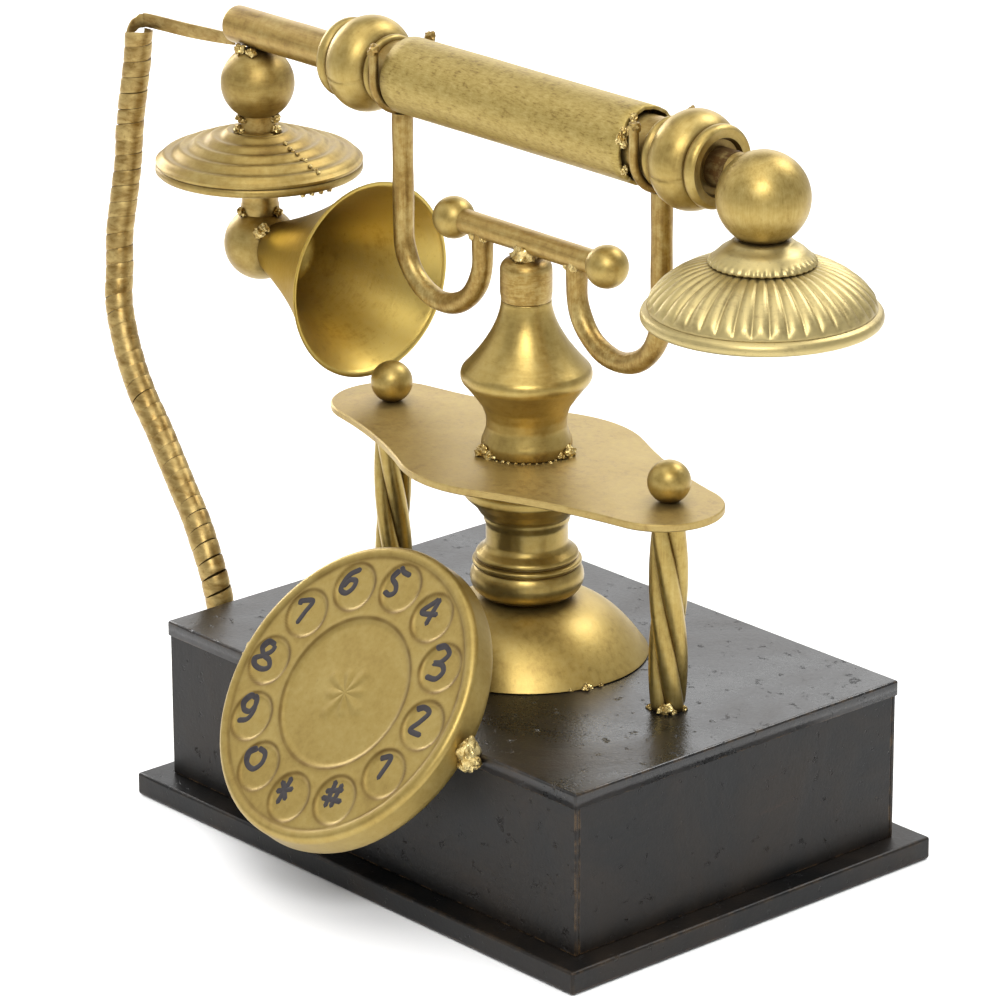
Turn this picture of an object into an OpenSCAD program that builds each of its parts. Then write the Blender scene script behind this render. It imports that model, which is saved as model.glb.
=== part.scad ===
// French-style cradle phone: a sheet-metal case on a plinth, a turned column with a
// shelf plate, a cradle of two round hooks, and a handset that rests in open forks.
// Units are millimetres. Z is up, X runs along the case, and the dial is on the -Y side.
// The origin is the centre of the plinth's underside.

/* [Case] */
// Length of the plinth plate
plinth_l = 217; // [200:1:240]
// Depth of the plinth plate
plinth_d = 158; // [140:1:180]
// Thickness of the plinth plate
plinth_t = 7.6; // [5:0.1:12]
// Length of the case
case_l = 200; // [180:1:220]
// Depth of the case
case_d = 140; // [120:1:150]
// Height of the case above the plinth, lid included
case_h = 54.8; // [40:0.1:70]
// Thickness of the case's sheet metal
sheet_t = 1.5; // [1:0.1:3]
// Depth of the lid's folded lip
lid_lip = 5; // [3:0.5:8]
// Thickness of the lid's folded lip
lid_lip_t = 0.7; // [0.5:0.1:1.5]

/* [Dial] */
// Radius of the dial's front face
dial_r = 50; // [40:0.5:55]
// Depth of the dial's folded rim
dial_rim = 10; // [6:0.5:14]
// Thickness of the dial's pressed sheet
dial_t = 1.2; // [0.8:0.1:2]
// Lean of the dial back from upright, in degrees
dial_lean = 39; // [30:1:50]
// Radius of the ring that the number cups lie on
cup_ring_r = 37.8; // [34:0.1:40]
// Radius of each number cup
cup_r = 8; // [6:0.5:9]
// Radius of the raised boss in the middle
boss_r = 26; // [20:0.5:27]

/* [Column] */
// Height of the shelf plate's top face
shelf_z = 132; // [120:0.5:140]
// Thickness of the shelf plate
shelf_t = 2.5; // [2:0.1:4]
// Distance from the middle to each twisted post
post_x = 67; // [60:0.5:75]
// Radius of the shelf's two ends
shelf_end_r = 20; // [16:0.5:24]
// Radius of the shelf's middle lobe
shelf_mid_r = 41; // [34:0.5:44]
// Radius of the column's domed foot
foot_r = 40; // [34:0.5:46]
// Radius of the balls on the posts and on the crossbar's ends
ball_r = 7; // [5:0.1:9]

/* [Cradle] */
// How far the cradle is welded to the right of the column
cradle_off = 1.5; // [0:0.1:3]
// Height of the crossbar's axis
bar_z = 202.5; // [190:0.5:215]
// Radius of the crossbar
bar_r = 4; // [3:0.1:5]
// Distance from the middle to each end ball of the crossbar
bar_ball_x = 36.5; // [30:0.5:45]
// Radius of the hooks' round rod
hook_rod_r = 3.5; // [2.5:0.1:4.5]
// Radius of the hooks' bend, to the middle of the rod
hook_bend_r = 19.5; // [14:0.5:24]
// Distance from the middle to each hook's bend
hook_x = 42; // [36:0.5:48]
// Height of the hooks' bend centre
hook_z = 192; // [180:0.5:200]
// Radius of the forks' thin rod
fork_rod_r = 1.6; // [1:0.1:2.5]

/* [Handset] */
// Height of the handset's axis when it rests in the forks
grip_z = 245.8; // [230:0.1:260]
// Radius of the grip tube
grip_r = 12.7; // [10:0.1:15]
// Wall of the grip tube
grip_wall = 1.2; // [0.8:0.1:2]
// Half length of the grip tube
grip_half = 56.5; // [50:0.5:60]
// Radius of the core rod that runs through the whole handset
core_r = 6.35; // [5:0.05:8]
// Left end of the core rod
core_left = -146; // [-160:1:-140]
// Centre of the earpiece stack
ear_x = -134.5; // [-145:0.5:-125]
// Radius of the ear disc
ear_disc_r = 35; // [30:0.5:40]
// Height of the ear disc's rim
ear_disc_z = 200; // [190:0.5:210]
// Radius of the balls over the ear disc and at the horn
ear_ball_r = 12.5; // [10:0.1:15]
// Height of the horn's axis
horn_z = 171.5; // [165:0.5:180]
// Radius of the horn's mouth
horn_r = 33.2; // [28:0.1:38]
// Where the horn's mouth lies
horn_mouth_x = -77; // [-90:0.5:-70]
// Centre of the mouthpiece ball and bell
mouth_x = 107.6; // [100:0.1:120]
// Radius of the mouthpiece ball
mouth_ball_r = 14.7; // [12:0.1:17]
// Radius of the mouthpiece bell
bell_r = 37.4; // [32:0.1:42]

/* [Cord] */
// Radius of the wound cord
cord_r = 4.6; // [3.5:0.1:6]
// Width of the flat strip that the cord is wound from
strip_w = 5; // [4:0.1:7]
// Thickness of the flat strip
strip_t = 0.8; // [0.5:0.1:1.5]

/* [Hidden] */
$fn = 64;
case_top = plinth_t + case_h;
panel_h = case_h - sheet_t;
foot_top = 82;
shelf_under = shelf_z - shelf_t;
shelf_shift = -1.8;
shelf_turn = -1.2;
column_r = 13.4;
cap_z = 183;
cap_top = 197;
fork_x = hook_x + hook_bend_r;
fork_bend_r = 12;
fork_tip = grip_z + 9.5;
horn_wall = 1.2;
horn_throat_x = ear_x + 9;
bell_low_z = 201.4;
bell_wall = 1.3;
mouth_ball_z = 240.4;
collar_left_x = 76;
collar_right_x = 77.2;
collar_half = 12.3;
cup_count = 12;
dial_rim_r = dial_r + 1.4;
steel = [0.10, 0.09, 0.08];
gold = [0.69, 0.58, 0.31];
deep_gold = [0.55, 0.43, 0.20];
weld = [0.78, 0.68, 0.40];
cord_gold = [0.66, 0.52, 0.27];

// The wound cord's route, from the plinth up to the lead strip: [x, y, z]
cord_route = [
  [-106, -43, 7.6], [-106, -43, 20], [-106, -43, 32], [-106, -43, 44], [-106, -43, 55],
  [-109, -43, 66], [-115, -42, 76], [-123, -40, 85], [-132, -38, 93], [-141, -36, 101],
  [-150, -34, 109], [-159, -33, 118], [-167, -31, 126], [-174, -29, 136], [-179, -27, 146],
  [-182, -24, 157], [-184, -22, 168], [-185, -19, 180], [-186, -16, 192], [-187, -14, 204],
  [-187, -12, 216], [-187, -10, 227], [-187, -9, 237]
];

// ---- Outline helpers ----

// Distance from the middle to the collar on that side
function collar_at(side) = side < 0 ? collar_left_x : collar_right_x;

// Points along an arc, from angle a0 to a1
function arc(cx, cy, r, a0, a1, n = 10) =
  [for (i = [0:n]) [cx + r * cos(a0 + (a1 - a0) * i / n), cy + r * sin(a0 + (a1 - a0) * i / n)]];

// Carries its children from the Z axis onto the handset's axis, along X
module along_handset(x) {
  translate([x, 0, grip_z]) rotate([0, 90, 0]) children();
}

// ---- Plinth and case ----

module plinth_plate() {
  chamfer = 0.8;
  color(steel) {
    translate([-plinth_l / 2, -plinth_d / 2, 0]) cube([plinth_l, plinth_d, plinth_t - chamfer]);
    translate([-plinth_l / 2 + chamfer, -plinth_d / 2 + chamfer, plinth_t - chamfer])
      cube([plinth_l - 2 * chamfer, plinth_d - 2 * chamfer, chamfer]);
  }
}

// Long wall: side is -1 for the front and 1 for the rear
module long_panel(side) {
  y = side < 0 ? -case_d / 2 : case_d / 2 - sheet_t;
  color(steel) translate([-case_l / 2, y, plinth_t]) cube([case_l, sheet_t, panel_h]);
}

// Short wall between the long walls: side is -1 for the left and 1 for the right
module short_panel(side) {
  x = side < 0 ? -case_l / 2 : case_l / 2 - sheet_t;
  color(steel) translate([x, -case_d / 2 + sheet_t, plinth_t])
    cube([sheet_t, case_d - 2 * sheet_t, panel_h]);
}

module case_front_panel() { long_panel(-1); }
module case_rear_panel() { long_panel(1); }
module case_left_panel() { short_panel(-1); }
module case_right_panel() { short_panel(1); }

module case_lid() {
  outer_l = case_l + 2 * lid_lip_t;
  outer_d = case_d + 2 * lid_lip_t;
  color(steel) difference() {
    translate([-outer_l / 2, -outer_d / 2, case_top - lid_lip]) cube([outer_l, outer_d, lid_lip]);
    translate([-case_l / 2, -case_d / 2, case_top - lid_lip - 1])
      cube([case_l, case_d, lid_lip - sheet_t + 1]);
  }
}

// ---- Dial ----

// Puts its children on the dial's back plane, +Z out of its face and +Y up its slope
module on_dial() {
  translate([0, -case_d / 2 - lid_lip_t, case_top]) rotate([90 - dial_lean, 0, 0]) children();
}

// Pressed cap with a rolled edge, and shallow dishes for the boss and the twelve numbers
module dial() {
  edge = 2.4;
  dish = 0.7;
  face_z = dial_rim - 0.5;
  color(gold) on_dial() difference() {
    rotate_extrude($fn = 96) polygon(concat(
      [[0, 0], [dial_rim_r, 0], [dial_rim_r, dial_rim - edge]],
      arc(dial_rim_r - edge, dial_rim - edge, edge, 10, 90, 5),
      [[dial_r - 2, dial_rim], [dial_r - 2.8, face_z], [0, face_z]]
    ));
    translate([0, 0, dial_t])
      cylinder(r = dial_rim_r - dial_t, h = face_z - dish - 2 * dial_t, $fn = 96);
    translate([0, 0, face_z - dish]) cylinder(r = boss_r, h = dish + 1, $fn = 96);
    for (i = [0:cup_count - 1])
      rotate([0, 0, -30 + i * 360 / cup_count]) translate([cup_ring_r, 0, face_z - dish])
        cylinder(r = cup_r, h = dish + 1, $fn = 32);
  }
}

// Lump of weld metal that holds the dial's rim to the case's top edge
module dial_weld(side) {
  lump_r = 3.8;
  color(weld) mirror([side < 0 ? 1 : 0, 0, 0]) difference() {
    translate([dial_rim_r, -case_d / 2 - lid_lip_t - 1.1, case_top - 0.8]) rotate([0, 90, 0])
      rotate_extrude() polygon(concat([[0, 0]], arc(0, 0, lump_r, 0, 80, 6), [[0, lump_r]]));
    translate([-case_l / 2, -case_d / 2 - lid_lip_t, case_top - 20]) cube([case_l, case_d, 20]);
  }
}

module dial_weld_left() { dial_weld(-1); }
module dial_weld_right() { dial_weld(1); }

// ---- Column, shelf and posts ----

// Spun dome, hollow underneath
module dome_foot() {
  wall = 1.5;
  rise = foot_top - case_top;
  steps = 14;
  color(gold) rotate_extrude($fn = 96) polygon(concat(
    [for (i = [0:steps]) let (t = i / steps)
      [foot_r - (foot_r - 12) * t, case_top + rise * (1 - pow(1 - t, 2.2))]],
    [[0, foot_top], [0, foot_top - wall]],
    [for (i = [steps:-1:0]) let (t = i / steps)
      [foot_r - wall - (foot_r - 12) * t, case_top + (rise - wall) * (1 - pow(1 - t, 2.2))]]
  ));
}

// Solid turned piece between the dome and the shelf
module lower_column() {
  bulge_r = 18.6;
  bulge_z = 89;
  color(gold) rotate_extrude($fn = 96) polygon(concat(
    [[0, foot_top], [12.5, foot_top], [12.5, foot_top + 0.6]],
    arc(bulge_r - 6.4, bulge_z, 6.4, -76, 38, 10),
    [[16.8, bulge_z + 4.2], [17.9, bulge_z + 4.8], [17.9, bulge_z + 6.2], [16, bulge_z + 6.8]],
    [[17, bulge_z + 7.4], [16.6, bulge_z + 8.6], [14.4, bulge_z + 10.4]],
    [[column_r, bulge_z + 12], [column_r, 107], [14.2, 109], [14.2, 110.4], [15.4, 111.4]],
    [[17, 114], [20.6, 117.4], [20.6, 120], [19, 122], [16, 123], [16, shelf_under], [0, shelf_under]]
  ));
}

// Plan of the shelf: a middle lobe that runs in concave curves into two round ends
module shelf_plan() {
  blend_r = 200;
  mid_reach = shelf_mid_r + blend_r;
  end_reach = shelf_end_r + blend_r;
  blend_x = (pow(post_x, 2) + pow(mid_reach, 2) - pow(end_reach, 2)) / (2 * post_x);
  blend_y = sqrt(pow(mid_reach, 2) - pow(blend_x, 2));
  meet = atan2(blend_y, blend_x);
  leave = atan2(blend_y, blend_x - post_x);
  lobe = arc(0, 0, shelf_mid_r, 90, meet, 8);
  hollow = arc(blend_x, blend_y, blend_r, 180 + meet, 180 + leave, 8);
  tip = arc(post_x, 0, shelf_end_r, leave, 0, 14);
  quarter = concat(lobe, [for (i = [1:7]) hollow[i]], tip);
  last = len(quarter) - 1;
  right = concat(quarter, [for (i = [last - 1:-1:0]) [quarter[i][0], -quarter[i][1]]]);
  left = [for (i = [len(right) - 2:-1:1]) [-right[i][0], right[i][1]]];
  polygon(concat(right, left));
}

// Flat plate, set a little forward of the posts and turned a little about the column
module shelf_plate() {
  color(gold) translate([0, shelf_shift, shelf_under]) rotate([0, 0, shelf_turn])
    linear_extrude(shelf_t) shelf_plan();
}

// Solid turned piece on the shelf: a ring, a waist and a bell that tapers upwards
module upper_column() {
  bell_max = 21.4;
  bell_z = 158;
  color(gold) rotate_extrude($fn = 96) polygon(concat(
    [[0, shelf_z], [14.8, shelf_z], [14.8, shelf_z + 3.6], [14, shelf_z + 5.6]],
    [[13.1, shelf_z + 8.6], [13.2, shelf_z + 12], [14.3, shelf_z + 15.4], [17, shelf_z + 19.2]],
    arc(bell_max - 4, bell_z, 4, -50, 42, 8),
    [for (i = [1:9]) let (t = 1 - i / 10) [7.7 + 12.7 * pow(t, 1.75), cap_z - (cap_z - bell_z - 2.6) * t]],
    [[7.7, cap_z], [0, cap_z]]
  ));
}

module column_cap() {
  cap_r = 8.5;
  color(gold) rotate_extrude() polygon(concat(
    [[0, cap_z], [cap_r - 0.9, cap_z], [cap_r, cap_z + 2.5], [cap_r, cap_top - 5]],
    arc(cap_r - 4, cap_top - 4, 4, 0, 80, 6),
    [[0, cap_top]]
  ));
}

module cradle_stub() {
  color(deep_gold) difference() {
    translate([0, 0, cap_top]) cylinder(r = 4.4, h = bar_z - cap_top);
    translate([cradle_off, 0, 0]) bar_rod();
  }
}

// Four-lobed rod twisted about its own axis
module twisted_post(side) {
  lobes = 4;
  points = 24;
  color(gold) translate([side * post_x, 0, case_top])
    linear_extrude(height = shelf_under - case_top, twist = 200, slices = 20)
      polygon([for (i = [0:points - 1])
        let (a = 360 * i / points, r = 5.6 + 0.7 * cos(lobes * a)) [r * cos(a), r * sin(a)]]);
}

module twisted_post_left() { twisted_post(-1); }
module twisted_post_right() { twisted_post(1); }

// Ball on a short stud
module post_ball(side) {
  seat = 0.4;
  color(gold) translate([side * post_x, 0, 0]) difference() {
    union() {
      translate([0, 0, shelf_z + ball_r - seat]) sphere(r = ball_r);
      translate([0, 0, shelf_z]) cylinder(r = 3.2, h = 2);
    }
    translate([-ball_r, -ball_r, shelf_z - 2 * ball_r]) cube([2 * ball_r, 2 * ball_r, 2 * ball_r]);
  }
}

module post_ball_left() { post_ball(-1); }
module post_ball_right() { post_ball(1); }

// ---- Cradle ----

module bar_rod() {
  bar_half = bar_ball_x - 4;
  translate([-bar_half, 0, bar_z]) rotate([0, 90, 0]) cylinder(r = bar_r, h = 2 * bar_half);
}

module crossbar() { color(gold) translate([cradle_off, 0, 0]) bar_rod(); }

module crossbar_ball(side) {
  color(gold) translate([cradle_off, 0, 0]) mirror([side > 0 ? 1 : 0, 0, 0]) difference() {
    translate([-bar_ball_x, 0, bar_z]) sphere(r = ball_r);
    bar_rod();
  }
}

module crossbar_ball_left() { crossbar_ball(-1); }
module crossbar_ball_right() { crossbar_ball(1); }

// Round rod bent into a J: a short leg under the crossbar and a long leg up to the fork
module cradle_hook(side) {
  leg_top = grip_z - fork_bend_r - 1.2;
  color(gold) translate([cradle_off, 0, 0]) difference() {
    translate([side * hook_x, 0, hook_z]) {
      rotate([90, 0, 0]) rotate([0, 0, 180]) rotate_extrude(angle = 180, $fn = 64)
        translate([hook_bend_r, 0]) circle(r = hook_rod_r, $fn = 32);
      translate([-side * hook_bend_r, 0, 0]) cylinder(r = hook_rod_r, h = bar_z - hook_z, $fn = 32);
      translate([side * hook_bend_r, 0, 0]) cylinder(r = hook_rod_r, h = leg_top - hook_z, $fn = 32);
    }
    bar_rod();
    fork_rod(side);
  }
}

module cradle_hook_left() { cradle_hook(-1); }
module cradle_hook_right() { cradle_hook(1); }

// U of thin rod, open at the top, that the handset's neck drops into
module fork_rod(side) {
  translate([side * fork_x, 0, grip_z]) {
    rotate([90, 0, 90]) rotate([0, 0, 180]) rotate_extrude(angle = 180, $fn = 64)
      translate([fork_bend_r, 0]) circle(r = fork_rod_r, $fn = 24);
    for (y = [-fork_bend_r, fork_bend_r]) {
      translate([0, y, 0]) cylinder(r = fork_rod_r, h = fork_tip - grip_z, $fn = 24);
      translate([0, y, fork_tip - grip_z]) sphere(r = fork_rod_r, $fn = 24);
    }
  }
}

module saddle_fork(side) { color(gold) translate([cradle_off, 0, 0]) fork_rod(side); }

module saddle_fork_left() { saddle_fork(-1); }
module saddle_fork_right() { saddle_fork(1); }

// ---- Handset ----

// Solid rod through the handset, with a rounded left end
module core_solid(grow = 0) {
  core_right = mouth_x - 8;
  along_handset(0) rotate_extrude() polygon(concat(
    [[0, core_left]],
    arc(core_r - 1.5, core_left + 1.5, 1.5, -90, 0, 4),
    [[core_r, core_right], [0, core_right]]
  ));
}

module core_rod() { color(gold) core_solid(); }

// Open tube that the hand holds
module grip_tube() {
  color(gold) along_handset(-grip_half) difference() {
    cylinder(r = grip_r, h = 2 * grip_half);
    translate([0, 0, -1]) cylinder(r = grip_r - grip_wall, h = 2 * grip_half + 2);
  }
}

// Spacer that centres the grip tube on the core rod and makes the neck in the fork
module neck_sleeve(side) {
  neck_r = 10;
  inner_x = grip_half - 12;
  outer_x = collar_at(side) - collar_half;
  color(deep_gold) mirror([side < 0 ? 1 : 0, 0, 0]) along_handset(0) difference() {
    union() {
      translate([0, 0, inner_x]) cylinder(r = grip_r - grip_wall, h = 5);
      translate([0, 0, inner_x]) cylinder(r = neck_r, h = outer_x - inner_x);
    }
    translate([0, 0, inner_x - 1]) cylinder(r = core_r, h = outer_x - inner_x + 2);
  }
}

module neck_sleeve_left() { neck_sleeve(-1); }
module neck_sleeve_right() { neck_sleeve(1); }

// Turned collar: a round bead between two smaller rings, bored for the core rod
module collar(side) {
  bead_r = 16;
  ring_r = 11.6;
  ring_w = 4;
  bead_half = collar_half - ring_w;
  color(gold) along_handset(side * collar_at(side)) rotate_extrude($fn = 96) polygon(concat(
    [[core_r, -collar_half], [ring_r - 1.2, -collar_half]],
    arc(ring_r - 1.2, -collar_half + 1.2, 1.2, -90, 0, 4),
    [[ring_r, -bead_half - 0.8], [ring_r - 0.8, -bead_half]],
    arc(bead_r - 9.5, 0, 9.5, -60, 60, 16),
    [[ring_r - 0.8, bead_half], [ring_r, bead_half + 0.8]],
    arc(ring_r - 1.2, collar_half - 1.2, 1.2, 0, 90, 4),
    [[core_r, collar_half]]
  ));
}

module collar_left() { collar(-1); }
module collar_right() { collar(1); }

ear_ball_z = grip_z - core_r - ear_ball_r + 0.5;

module ear_ball() {
  color(gold) difference() {
    translate([ear_x, 0, ear_ball_z]) sphere(r = ear_ball_r, $fn = 96);
    core_solid();
  }
}

// Short rod through the earpiece stack, from the upper ball to the horn ball
module ear_rod() {
  low = horn_z + ear_ball_r - 3;
  high = ear_ball_z - ear_ball_r + 3;
  color(deep_gold) difference() {
    translate([ear_x, 0, low]) cylinder(r = core_r, h = high - low);
    translate([ear_x, 0, ear_ball_z]) sphere(r = ear_ball_r, $fn = 96);
    translate([ear_x, 0, horn_z]) sphere(r = ear_ball_r, $fn = 96);
  }
}

// Upper shell of the ear disc, pressed in rising steps, bored for the rod
module ear_disc_upper() {
  steps = 5;
  rise = 11.5;
  wall = 1.2;
  inner_r = core_r;
  function step_at(t) = t > 0.04 && t < 0.98 ? -0.45 * cos(360 * steps * t) : 0;
  top = [for (i = [0:60]) let (t = i / 60)
    [ear_disc_r - (ear_disc_r - 8) * t, ear_disc_z + 1.5 + (rise - 1.5) * pow(t, 0.8) + step_at(t)]];
  under = [for (i = [12:-1:0]) let (t = i / 12, r = ear_disc_r - wall - (ear_disc_r - wall - 8) * t)
    [r, ear_disc_z + (rise - wall) * pow(t, 0.8)]];
  color(gold) translate([ear_x, 0, 0]) rotate_extrude($fn = 96) polygon(concat(
    [[ear_disc_r, ear_disc_z]], top,
    [[inner_r, ear_disc_z + rise], [inner_r, ear_disc_z + rise - wall]], under
  ));
}

// Lower shell of the ear disc, shallow and smooth, with an upright band under the rim
module ear_disc_lower() {
  drop = 7;
  wall = 1.2;
  band = 2.8;
  function low_at(t) = ear_disc_z - drop + (drop - band) * pow(t, 1.6);
  color(gold) translate([ear_x, 0, 0]) rotate_extrude($fn = 96) polygon(concat(
    [[core_r, ear_disc_z - drop]],
    [for (i = [0:12]) [9 + (ear_disc_r - 9.6) * i / 12, low_at(i / 12)]],
    [[ear_disc_r, ear_disc_z - band + 0.7], [ear_disc_r, ear_disc_z - 0.01]],
    [[ear_disc_r - wall, ear_disc_z - 0.01], [ear_disc_r - wall, ear_disc_z - band + wall]],
    [for (i = [11:-1:0]) [9 + (ear_disc_r - 9.6) * i / 12, low_at(i / 12) + wall]],
    [[core_r, ear_disc_z - drop + wall]]
  ));
}

module horn_ball() {
  color(gold) difference() {
    translate([ear_x, 0, horn_z]) sphere(r = ear_ball_r, $fn = 96);
    translate([horn_throat_x, 0, horn_z]) rotate([0, 90, 0]) cylinder(r = 12, h = 20);
  }
}

// Thin trumpet that opens along +X
module horn() {
  length = horn_mouth_x - horn_throat_x;
  throat_r = 9;
  n = 16;
  function horn_at(t) = throat_r + (horn_r - throat_r) * (0.72 * t + 0.28 * pow(t, 2.4));
  outer = [for (i = [0:n]) [horn_at(i / n), length * i / n]];
  inner = [for (i = [n:-1:1]) [horn_at(i / n) - horn_wall, length * i / n + (i == n ? 0 : 0.4)]];
  color(gold) translate([horn_throat_x, 0, horn_z]) rotate([0, 90, 0])
    rotate_extrude($fn = 96) polygon(concat(outer, inner, [[0, 4], [0, 0]]));
}

module mouth_ball() {
  color(gold) difference() {
    translate([mouth_x, 0, mouth_ball_z]) sphere(r = mouth_ball_r, $fn = 96);
    core_solid();
    translate([mouth_x, 0, 0]) cylinder(r = 12.5, h = bell_low_z + 24.4);
  }
}

// Plain domed cap that joins the ball to the fluted bell
module bell_cap() {
  cap_r = 16.8;
  color(gold) translate([mouth_x, 0, bell_low_z]) rotate_extrude($fn = 96) polygon([
    [0, 18.4], [cap_r, 18.4], [cap_r, 19.2], [cap_r - 1, 20.4], [13, 22.6], [9.5, 24.4], [0, 24.4]
  ]);
}

// Domed shell of the mouthpiece, with a rolled rim
module mouth_bell() {
  rim_h = 4.6;
  rim_step = 1.8;
  top_h = 18.4;
  side_r = bell_r - 2;
  n = 18;
  function dome(u) = pow(1 - pow(u, 1.4), 0.72);
  color(gold) translate([mouth_x, 0, bell_low_z]) rotate_extrude($fn = 96) polygon(concat(
    [[bell_r - bell_wall, 0], [bell_r - 0.5, 0.3], [bell_r, 1.2], [bell_r, rim_h - rim_step]],
    [[bell_r - 0.8, rim_h - 0.6]],
    [for (i = [0:n]) let (u = 1 - i / n) [12 + (side_r - 12) * u, rim_h + (top_h - rim_h) * dome(u)]],
    [[0, top_h], [0, top_h - bell_wall]],
    [for (i = [n:-1:0]) let (u = 1 - i / n)
      [12 + (side_r - bell_wall - 12) * u, rim_h + (top_h - bell_wall - rim_h) * dome(u)]]
  ));
}

// ---- Cord ----

// One ring of a tube swept along the route, square to the local direction
function ring_at(route, i, r, sides) =
  let (
    a = route[max(i - 1, 0)], b = route[min(i + 1, len(route) - 1)],
    d = (b - a) / norm(b - a), u = cross(d, [0, 1, 0]) / norm(cross(d, [0, 1, 0])), v = cross(d, u)
  )
  [for (k = [0:sides - 1]) route[i] + r * (cos(360 * k / sides) * u + sin(360 * k / sides) * v)];

module swept_tube(route, r, sides) {
  n = len(route);
  points = [for (i = [0:n - 1]) each ring_at(route, i, r, sides)];
  walls = [for (i = [0:n - 2], k = [0:sides - 1])
    [i * sides + k, i * sides + (k + 1) % sides, (i + 1) * sides + (k + 1) % sides, (i + 1) * sides + k]];
  first = [for (k = [sides - 1:-1:0]) k];
  last = [for (k = [0:sides - 1]) (n - 1) * sides + k];
  polyhedron(points, concat(walls, [first, last]), convexity = 6);
}

// Flat strip wound into a close round tube: its outer shape
module cord_coil() {
  color(cord_gold) swept_tube(cord_route, cord_r, 12);
}

// The strip's free end, which curls off the coil and runs to the core rod's end
module cord_lead() {
  centre = cord_route[len(cord_route) - 1] + [0, 0, 0.3];
  turn_r = cord_r - strip_t;
  from_a = 215;
  to_a = 104;
  end_x = core_left;
  run = [end_x - centre[0], -centre[1]];
  color(cord_gold) translate([centre[0], centre[1], centre[2]]) linear_extrude(strip_w) {
    polygon(concat(arc(0, 0, cord_r, from_a, to_a, 12), arc(0, 0, turn_r, to_a, from_a, 12)));
    polygon([
      [cord_r * cos(to_a), cord_r * sin(to_a)], [run[0], run[1] + strip_t / 2],
      [run[0], run[1] - strip_t / 2], [turn_r * cos(to_a), turn_r * sin(to_a)]
    ]);
  }
}

plinth_plate();
case_front_panel();
case_rear_panel();
case_left_panel();
case_right_panel();
case_lid();
dial();
dial_weld_left();
dial_weld_right();
dome_foot();
lower_column();
shelf_plate();
upper_column();
column_cap();
cradle_stub();
twisted_post_left();
twisted_post_right();
post_ball_left();
post_ball_right();
crossbar();
crossbar_ball_left();
crossbar_ball_right();
cradle_hook_left();
cradle_hook_right();
saddle_fork_left();
saddle_fork_right();
core_rod();
grip_tube();
neck_sleeve_left();
neck_sleeve_right();
collar_left();
collar_right();
ear_ball();
ear_rod();
ear_disc_upper();
ear_disc_lower();
horn_ball();
horn();
mouth_ball();
bell_cap();
mouth_bell();
cord_coil();
cord_lead();
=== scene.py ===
"""Looks of the french-style cradle phone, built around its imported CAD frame.

Numbers called mm are millimetres in the CAD's frame, and MM turns them into Blender's metres.
Every place comes from the boxes of the CAD nodes, so the pieces follow the CAD model.
"""
import math
import random

import bpy
from mathutils import Matrix, Vector, noise


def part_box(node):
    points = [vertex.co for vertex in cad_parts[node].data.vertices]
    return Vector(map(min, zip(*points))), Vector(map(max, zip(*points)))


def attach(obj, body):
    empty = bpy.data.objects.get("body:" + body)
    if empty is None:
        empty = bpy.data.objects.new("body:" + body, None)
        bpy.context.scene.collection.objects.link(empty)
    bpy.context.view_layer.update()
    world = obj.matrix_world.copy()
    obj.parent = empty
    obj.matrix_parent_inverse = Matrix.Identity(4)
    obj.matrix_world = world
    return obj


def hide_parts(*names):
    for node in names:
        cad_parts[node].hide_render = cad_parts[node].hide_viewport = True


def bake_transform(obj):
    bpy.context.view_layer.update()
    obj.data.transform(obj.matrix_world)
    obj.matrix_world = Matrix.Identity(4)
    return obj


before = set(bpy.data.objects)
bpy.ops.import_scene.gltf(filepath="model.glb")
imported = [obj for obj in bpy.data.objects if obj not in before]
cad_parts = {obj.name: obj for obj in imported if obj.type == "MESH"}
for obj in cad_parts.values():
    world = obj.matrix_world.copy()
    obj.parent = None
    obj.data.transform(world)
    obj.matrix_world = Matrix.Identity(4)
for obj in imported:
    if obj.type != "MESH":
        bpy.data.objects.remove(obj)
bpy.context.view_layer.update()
MM = 0.001
TAU = 2 * math.pi
SCENE = bpy.context.scene


# ---- Places from the CAD nodes, in mm ----

def lo(node):
    return [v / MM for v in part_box(node)[0]]


def hi(node):
    return [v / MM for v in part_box(node)[1]]


def mid(node):
    return [(a + b) / 2 for a, b in zip(lo(node), hi(node))]


def half(node, axis):
    return (hi(node)[axis] - lo(node)[axis]) / 2


# ---- Camera, at the photograph's viewing angle ----

AZIMUTH, ELEVATION, ROLL = (math.radians(a) for a in (48.4366, 19.7954, -0.2797))
CAM_DISTANCE = 1.74736
CAM_LENS = 193.368
CAM_SENSOR = 36
CAM_SHIFT = (-0.008734, 0.013766)  # how far the aim lies right of and above the object's axis
AIM_HEIGHT = 0.1

view_back = Vector((math.sin(AZIMUTH) * math.cos(ELEVATION),
                    -math.cos(AZIMUTH) * math.cos(ELEVATION), math.sin(ELEVATION)))
view_right = Vector((math.cos(AZIMUTH), math.sin(AZIMUTH), 0))
view_up = view_back.cross(view_right)
AIM = view_right * CAM_SHIFT[0] + view_up * CAM_SHIFT[1] + Vector((0, 0, AIM_HEIGHT))


def make_camera():
    cam = bpy.data.objects.new("camera", bpy.data.cameras.new("camera"))
    SCENE.collection.objects.link(cam)
    rolled = math.cos(ROLL) * view_right + math.sin(ROLL) * view_up
    cam.matrix_world = Matrix((rolled, view_back.cross(rolled), view_back)).transposed().to_4x4()
    cam.matrix_world.translation = AIM + view_back * CAM_DISTANCE
    cam.data.sensor_width = CAM_SENSOR
    cam.data.lens = CAM_LENS
    cam.data.clip_end = 20
    SCENE.camera = cam


make_camera()


# ---- Mesh helpers ----

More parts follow.
